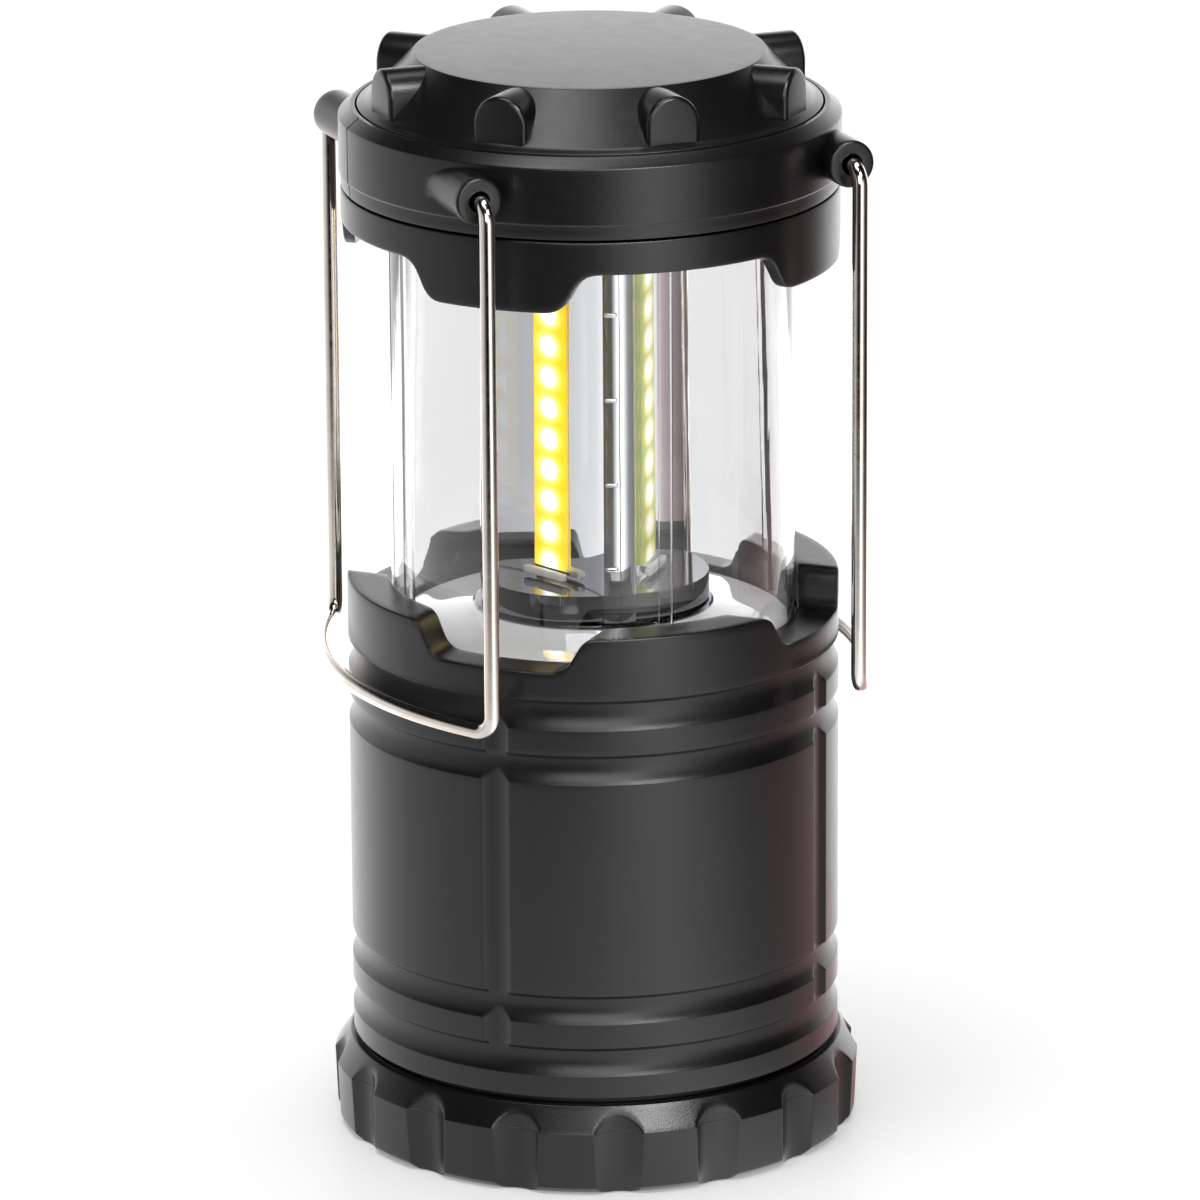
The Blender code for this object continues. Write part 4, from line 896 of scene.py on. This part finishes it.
def make_troughs():
    """The column's three mirrored troughs, each with its ledge, window and row of pips."""
    for number, angle in enumerate(TROUGH_ANGLES, start=1):
        place = trough_frame(angle)
        skin = finish_mesh(f"reflector_{number}_fine", extruded(trough_outline(), *COLUMN_Z, place),
                           "lamp_head", [f"reflector_{number}"])
        foot = extruded(foot_outline(), COLUMN_Z[0] + 0.15, LEDGE_Z, place)
        boolean(skin, finish_mesh("foot", foot, None, ()), 'UNION')
        window = block_at(WINDOW_SIZE, angle, WINDOW_R, WINDOW_Z, angle)
        boolean(skin, finish_mesh("window", window, None, ()), 'DIFFERENCE')
        edge = angle + PIP_TURN
        pips = [block_at(PIP_SIZE, edge, PIP_R, height, edge + PIP_TWIST, bevel=0.35)
                for height in PIP_HEIGHTS]
        boolean(skin, finish_mesh("pips", merged(pips), None, ()), 'UNION')
        wear(skin, MIRROR)


def make_lights():
    """In each trough a white board, the glowing strip on it and a clip across the strip's foot."""
    length = LIGHT_Z[1] - LIGHT_Z[0]
    middle = sum(LIGHT_Z) / 2
    for number, (angle, (gel, glow)) in enumerate(zip(TROUGH_ANGLES, STRIP_LOOKS), start=1):
        board = block_at((*BOARD_SIZE, length + 0.8), angle, BOARD_R, middle, angle, bevel=0.1)
        piece = finish_mesh(f"light_board_{number}_fine", board, "lamp_head",
                            [f"light_board_{number}"])
        wear(piece, WHITE)
        strip = block_at((*STRIP_SIZE, length), angle, STRIP_R, middle, angle, bevel=0.2)
        piece = finish_mesh(f"light_strip_{number}_fine", strip, "lamp_head",
                            [f"light_strip_{number}"])
        wear(piece, light_strip_look(number, angle, gel, glow))
        clip = block_at(CLIP_SIZE, angle, CLIP_R, CLIP_Z, angle, bevel=0.35)
        piece = finish_mesh(f"strip_clip_{number}", clip, None, ())
        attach(piece, "lamp_head")
        wear(piece, WHITE)


# ---------------------------------------------------------------- carried-over pieces
CARRIED = {
    "base_gasket": RUBBER, "slide_friction_ring": RUBBER, "slide_carrier": BLACK,
    "battery_tube": PART_BLACK, "battery_door": PART_BLACK, "limit_switch": PART_BLACK,
    "inductor": PART_BLACK, "driver_chip": PART_BLACK, "switch_plunger": WHITE,
    "top_positive_plate": STEEL, "top_link_plate": STEEL, "door_link_plate": STEEL,
    "door_negative_plate": STEEL, "capacitor": STEEL, "centre_rod": BRASS, "positive_lead": RED,
    "switch_lead": DARK_LEAD, "driver_board": GREEN,
}
for group, look in (("contact_spring", STEEL), ("tube_screw", ZINC), ("cap_screw", ZINC),
                    ("battery", WRAP), ("strip_lead", RED)):
    for index in (1, 2, 3):
        CARRIED[f"{group}_{index}"] = look

make_body_shell()
make_base()
make_skirt()
make_collar()
make_top_cap()
make_handle("handle_left_fine", "handle_left", "handle_left_wire", -1)
make_handle("handle_right_fine", "handle_right", "handle_right_wire", 1)
make_lens()
make_chamber_ends()
make_troughs()
make_lights()
for node, look in CARRIED.items():
    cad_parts[node].data.materials.clear()
    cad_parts[node].data.materials.append(look)


# ---------------------------------------------------------------- floor, light and camera
# What reflections see: radiance at angles to the right of the camera, all the way round.
ROOM_PEAK = 2.6
NEAR_TABLE = ((-179, 2.2), (-122, 1.8), (-95, 1.25), (-70, 1.05), (-25, 0.9), (-4, 1.1), (30, 1.85),
              (50, 1.3), (74, 0.6), (98, (0.7, 0.42, 0.42)), (122, (1.1, 0.78, 0.78)), (142, 2.0),
              (179, 2.2))
FAR_ROOM = ((-179, 2.4), (-122, 1.15), (-95, 0.85), (-60, 0.58), (-38, 0.1), (-20, 0.0), (2, 0.0),
            (28, 2.6), (42, 1.3), (56, 0.25), (80, 0.02), (108, (0.05, 0.03, 0.03)),
            (126, (0.5, 0.42, 0.42)), (144, 2.2), (179, 2.4))
NEAR_REACH, FAR_REACH = 0.24, 0.46     # table distances between which one passes to the other
WALL_FOOT, WALL_TOP = 0.18, 0.5        # steepness at which the far room passes into darkness
DARK_ROOM = 0.02
TABLE_GLOW = 0.25
TABLE_R = 6.0
TABLE_DROP = 0.0002                # keeps the table clear of the base's underside
FILL = 0.64
VIEW_TURN = math.radians(21.5)     # the lantern is seen this far round from its front
CAMERA_PITCH = math.radians(16.695)
CAMERA_YAW = math.radians(0.0485)
CAMERA_ROLL = math.radians(-0.359)
CAMERA_REACH = 1.3507
CAMERA_HEIGHT = 0.4949
FOCAL_LENGTH = 251.9               # in millimetres, on a sensor this wide
SENSOR_WIDTH = 36.0


def mirrored_path(nodes, links):
    """1 for a ray that a glossy surface has sent on, 0 for one seen directly or through glass."""
    path = nodes.new("ShaderNodeLightPath")
    return maths(nodes, links, 'GREATER_THAN', path.outputs["Glossy Depth"], 0.5)


def viewer_axes(nodes, links, output):
    """Right, away and up as the camera sees the lantern."""
    turn = nodes.new("ShaderNodeVectorRotate")
    turn.rotation_type = 'Z_AXIS'
    turn.inputs["Angle"].default_value = VIEW_TURN
    links.new(nodes.new("ShaderNodeTexCoord").outputs[output], turn.inputs["Vector"])
    return position_axes(nodes, links, turn.outputs["Vector"])


def room_ramp(nodes, links, axes, stops):
    """How bright the room is in each direction; stops are (degrees right of the camera, colour)."""
    towards = maths(nodes, links, 'MULTIPLY', axes["Y"], -1.0)
    turn = maths(nodes, links, 'ARCTAN2', axes["X"], towards)
    share = maths(nodes, links, 'ADD', maths(nodes, links, 'DIVIDE', turn, TAU), 0.5)
    ramp = nodes.new("ShaderNodeValToRGB")
    elements = ramp.color_ramp.elements
    while len(elements) < len(stops):
        elements.new(0.5)
    for element, (degrees, _) in zip(elements, stops):
        element.position = degrees / 360 + 0.5
    for element, (_, colour) in zip(elements, stops):
        red, green, blue = colour if isinstance(colour, tuple) else (colour, colour, colour)
        element.color = (red / ROOM_PEAK, green / ROOM_PEAK, blue / ROOM_PEAK, 1)
    links.new(share, ramp.inputs["Fac"])
    return ramp.outputs["Color"]


def make_floor():
    """Pale table; reflections see the room's brighter and darker sides in it."""
    material = surface("studio_floor", (0.90, 0.90, 0.90), (0.915, 0.915, 0.915), (0.45, 0.55),
                       grain=(600.0, 0.02), cloud=6.0, specular=0.3)
    nodes, links = material.node_tree.nodes, material.node_tree.links
    shader = nodes["Principled BSDF"]
    shader.inputs["Emission Color"].default_value = (1.0, 0.995, 0.985, 1)
    shader.inputs["Emission Strength"].default_value = TABLE_GLOW
    axes = viewer_axes(nodes, links, "Object")
    length = nodes.new("ShaderNodeVectorMath")
    length.operation = 'LENGTH'
    links.new(nodes.new("ShaderNodeTexCoord").outputs["Object"], length.inputs[0])
    blend = nodes.new("ShaderNodeMix")
    blend.data_type = 'RGBA'
    links.new(ranged(nodes, links, length.outputs["Value"], 0.0, 1.0, NEAR_REACH, FAR_REACH),
              blend.inputs["Factor"])
    links.new(room_ramp(nodes, links, axes, NEAR_TABLE), blend.inputs["A"])
    links.new(room_ramp(nodes, links, axes, FAR_ROOM), blend.inputs["B"])
    room = nodes.new("ShaderNodeEmission")
    links.new(blend.outputs["Result"], room.inputs["Color"])
    room.inputs["Strength"].default_value = ROOM_PEAK
    mix = nodes.new("ShaderNodeMixShader")
    links.new(mirrored_path(nodes, links), mix.inputs[0])
    links.new(shader.outputs["BSDF"], mix.inputs[1])
    links.new(room.outputs["Emission"], mix.inputs[2])
    links.new(mix.outputs["Shader"], nodes["Material Output"].inputs["Surface"])
    work = bmesh.new()
    bmesh.ops.create_circle(work, cap_ends=True, segments=96, radius=TABLE_R)
    mesh = bpy.data.meshes.new("studio_floor")
    work.to_mesh(mesh)
    work.free()
    floor = bpy.data.objects.new("studio_floor", mesh)
    floor.location.z = -TABLE_DROP
    mesh.materials.append(material)
    bpy.context.scene.collection.objects.link(floor)


def make_softbox(name, location, target, size, radiance, lights_matt=True):
    """Area light of a given brightness; without lights_matt it only gives highlights."""
    light = bpy.data.lights.new(name, 'AREA')
    light.shape = 'RECTANGLE'
    light.size, light.size_y = size
    light.energy = radiance * math.pi * size[0] * size[1]
    lamp = bpy.data.objects.new(name, light)
    lamp.location = location
    lamp.rotation_mode = 'QUATERNION'
    lamp.rotation_quaternion = (Vector(target) - Vector(location)).to_track_quat('-Z', 'Y')
    lamp.visible_diffuse = lights_matt
    bpy.context.scene.collection.objects.link(lamp)


def make_world():
    """White to look at; in reflections as bright as the room is low down, and dark higher up."""
    world = bpy.data.worlds.new("studio")
    world.use_nodes = True
    nodes, links = world.node_tree.nodes, world.node_tree.links
    axes = viewer_axes(nodes, links, "Generated")
    mirrored = mirrored_path(nodes, links)
    colour = nodes.new("ShaderNodeMix")
    colour.data_type = 'RGBA'
    colour.inputs["A"].default_value = (1.0, 1.0, 1.0, 1)
    links.new(room_ramp(nodes, links, axes, FAR_ROOM), colour.inputs["B"])
    links.new(mirrored, colour.inputs["Factor"])
    links.new(colour.outputs["Result"], nodes["Background"].inputs["Color"])
    low_down = ranged(nodes, links, axes["Z"], ROOM_PEAK, DARK_ROOM, WALL_FOOT, WALL_TOP)
    strength = nodes.new("ShaderNodeMix")
    strength.inputs["A"].default_value = FILL
    links.new(low_down, strength.inputs["B"])
    links.new(mirrored, strength.inputs["Factor"])
    links.new(strength.outputs["Result"], nodes["Background"].inputs["Strength"])
    bpy.context.scene.world = world


def viewer(x, y, z):
    """Place given as right, away and up as the camera sees the lantern, in metres."""
    return Matrix.Rotation(-VIEW_TURN, 4, 'Z') @ Vector((x, y, z))


def make_camera():
    data = bpy.data.cameras.new("camera")
    data.lens = FOCAL_LENGTH
    data.sensor_width = SENSOR_WIDTH
    data.clip_end = 50.0
    camera = bpy.data.objects.new("camera", data)
    turn = (Matrix.Rotation(-VIEW_TURN - CAMERA_YAW, 4, 'Z')
            @ Matrix.Rotation(math.pi / 2 - CAMERA_PITCH, 4, 'X')
            @ Matrix.Rotation(CAMERA_ROLL, 4, 'Z'))
    camera.matrix_world = Matrix.Translation(viewer(0, -CAMERA_REACH, CAMERA_HEIGHT)) @ turn
    bpy.context.scene.collection.objects.link(camera)
    bpy.context.scene.camera = camera


make_floor()
make_softbox("top_softbox", viewer(-0.08, 0.1, 1.6), (0, 0, 0.1), (1.3, 0.5), 3.3)
make_softbox("front_softbox", viewer(-0.19, -0.4, 1.55), (0, 0, 0.1), (0.69, 0.4), 3.8)
make_softbox("key_softbox", viewer(0.42, -0.70, 1.0), (0, 0, 0.05), (0.4, 0.35), 21.0, False)
make_softbox("low_softbox", viewer(0.02, -1.1, 0.62), (0, 0, 0.08), (0.85, 0.66), 3.3, False)
make_world()
make_camera()
bpy.context.scene.view_settings.view_transform = 'Standard'
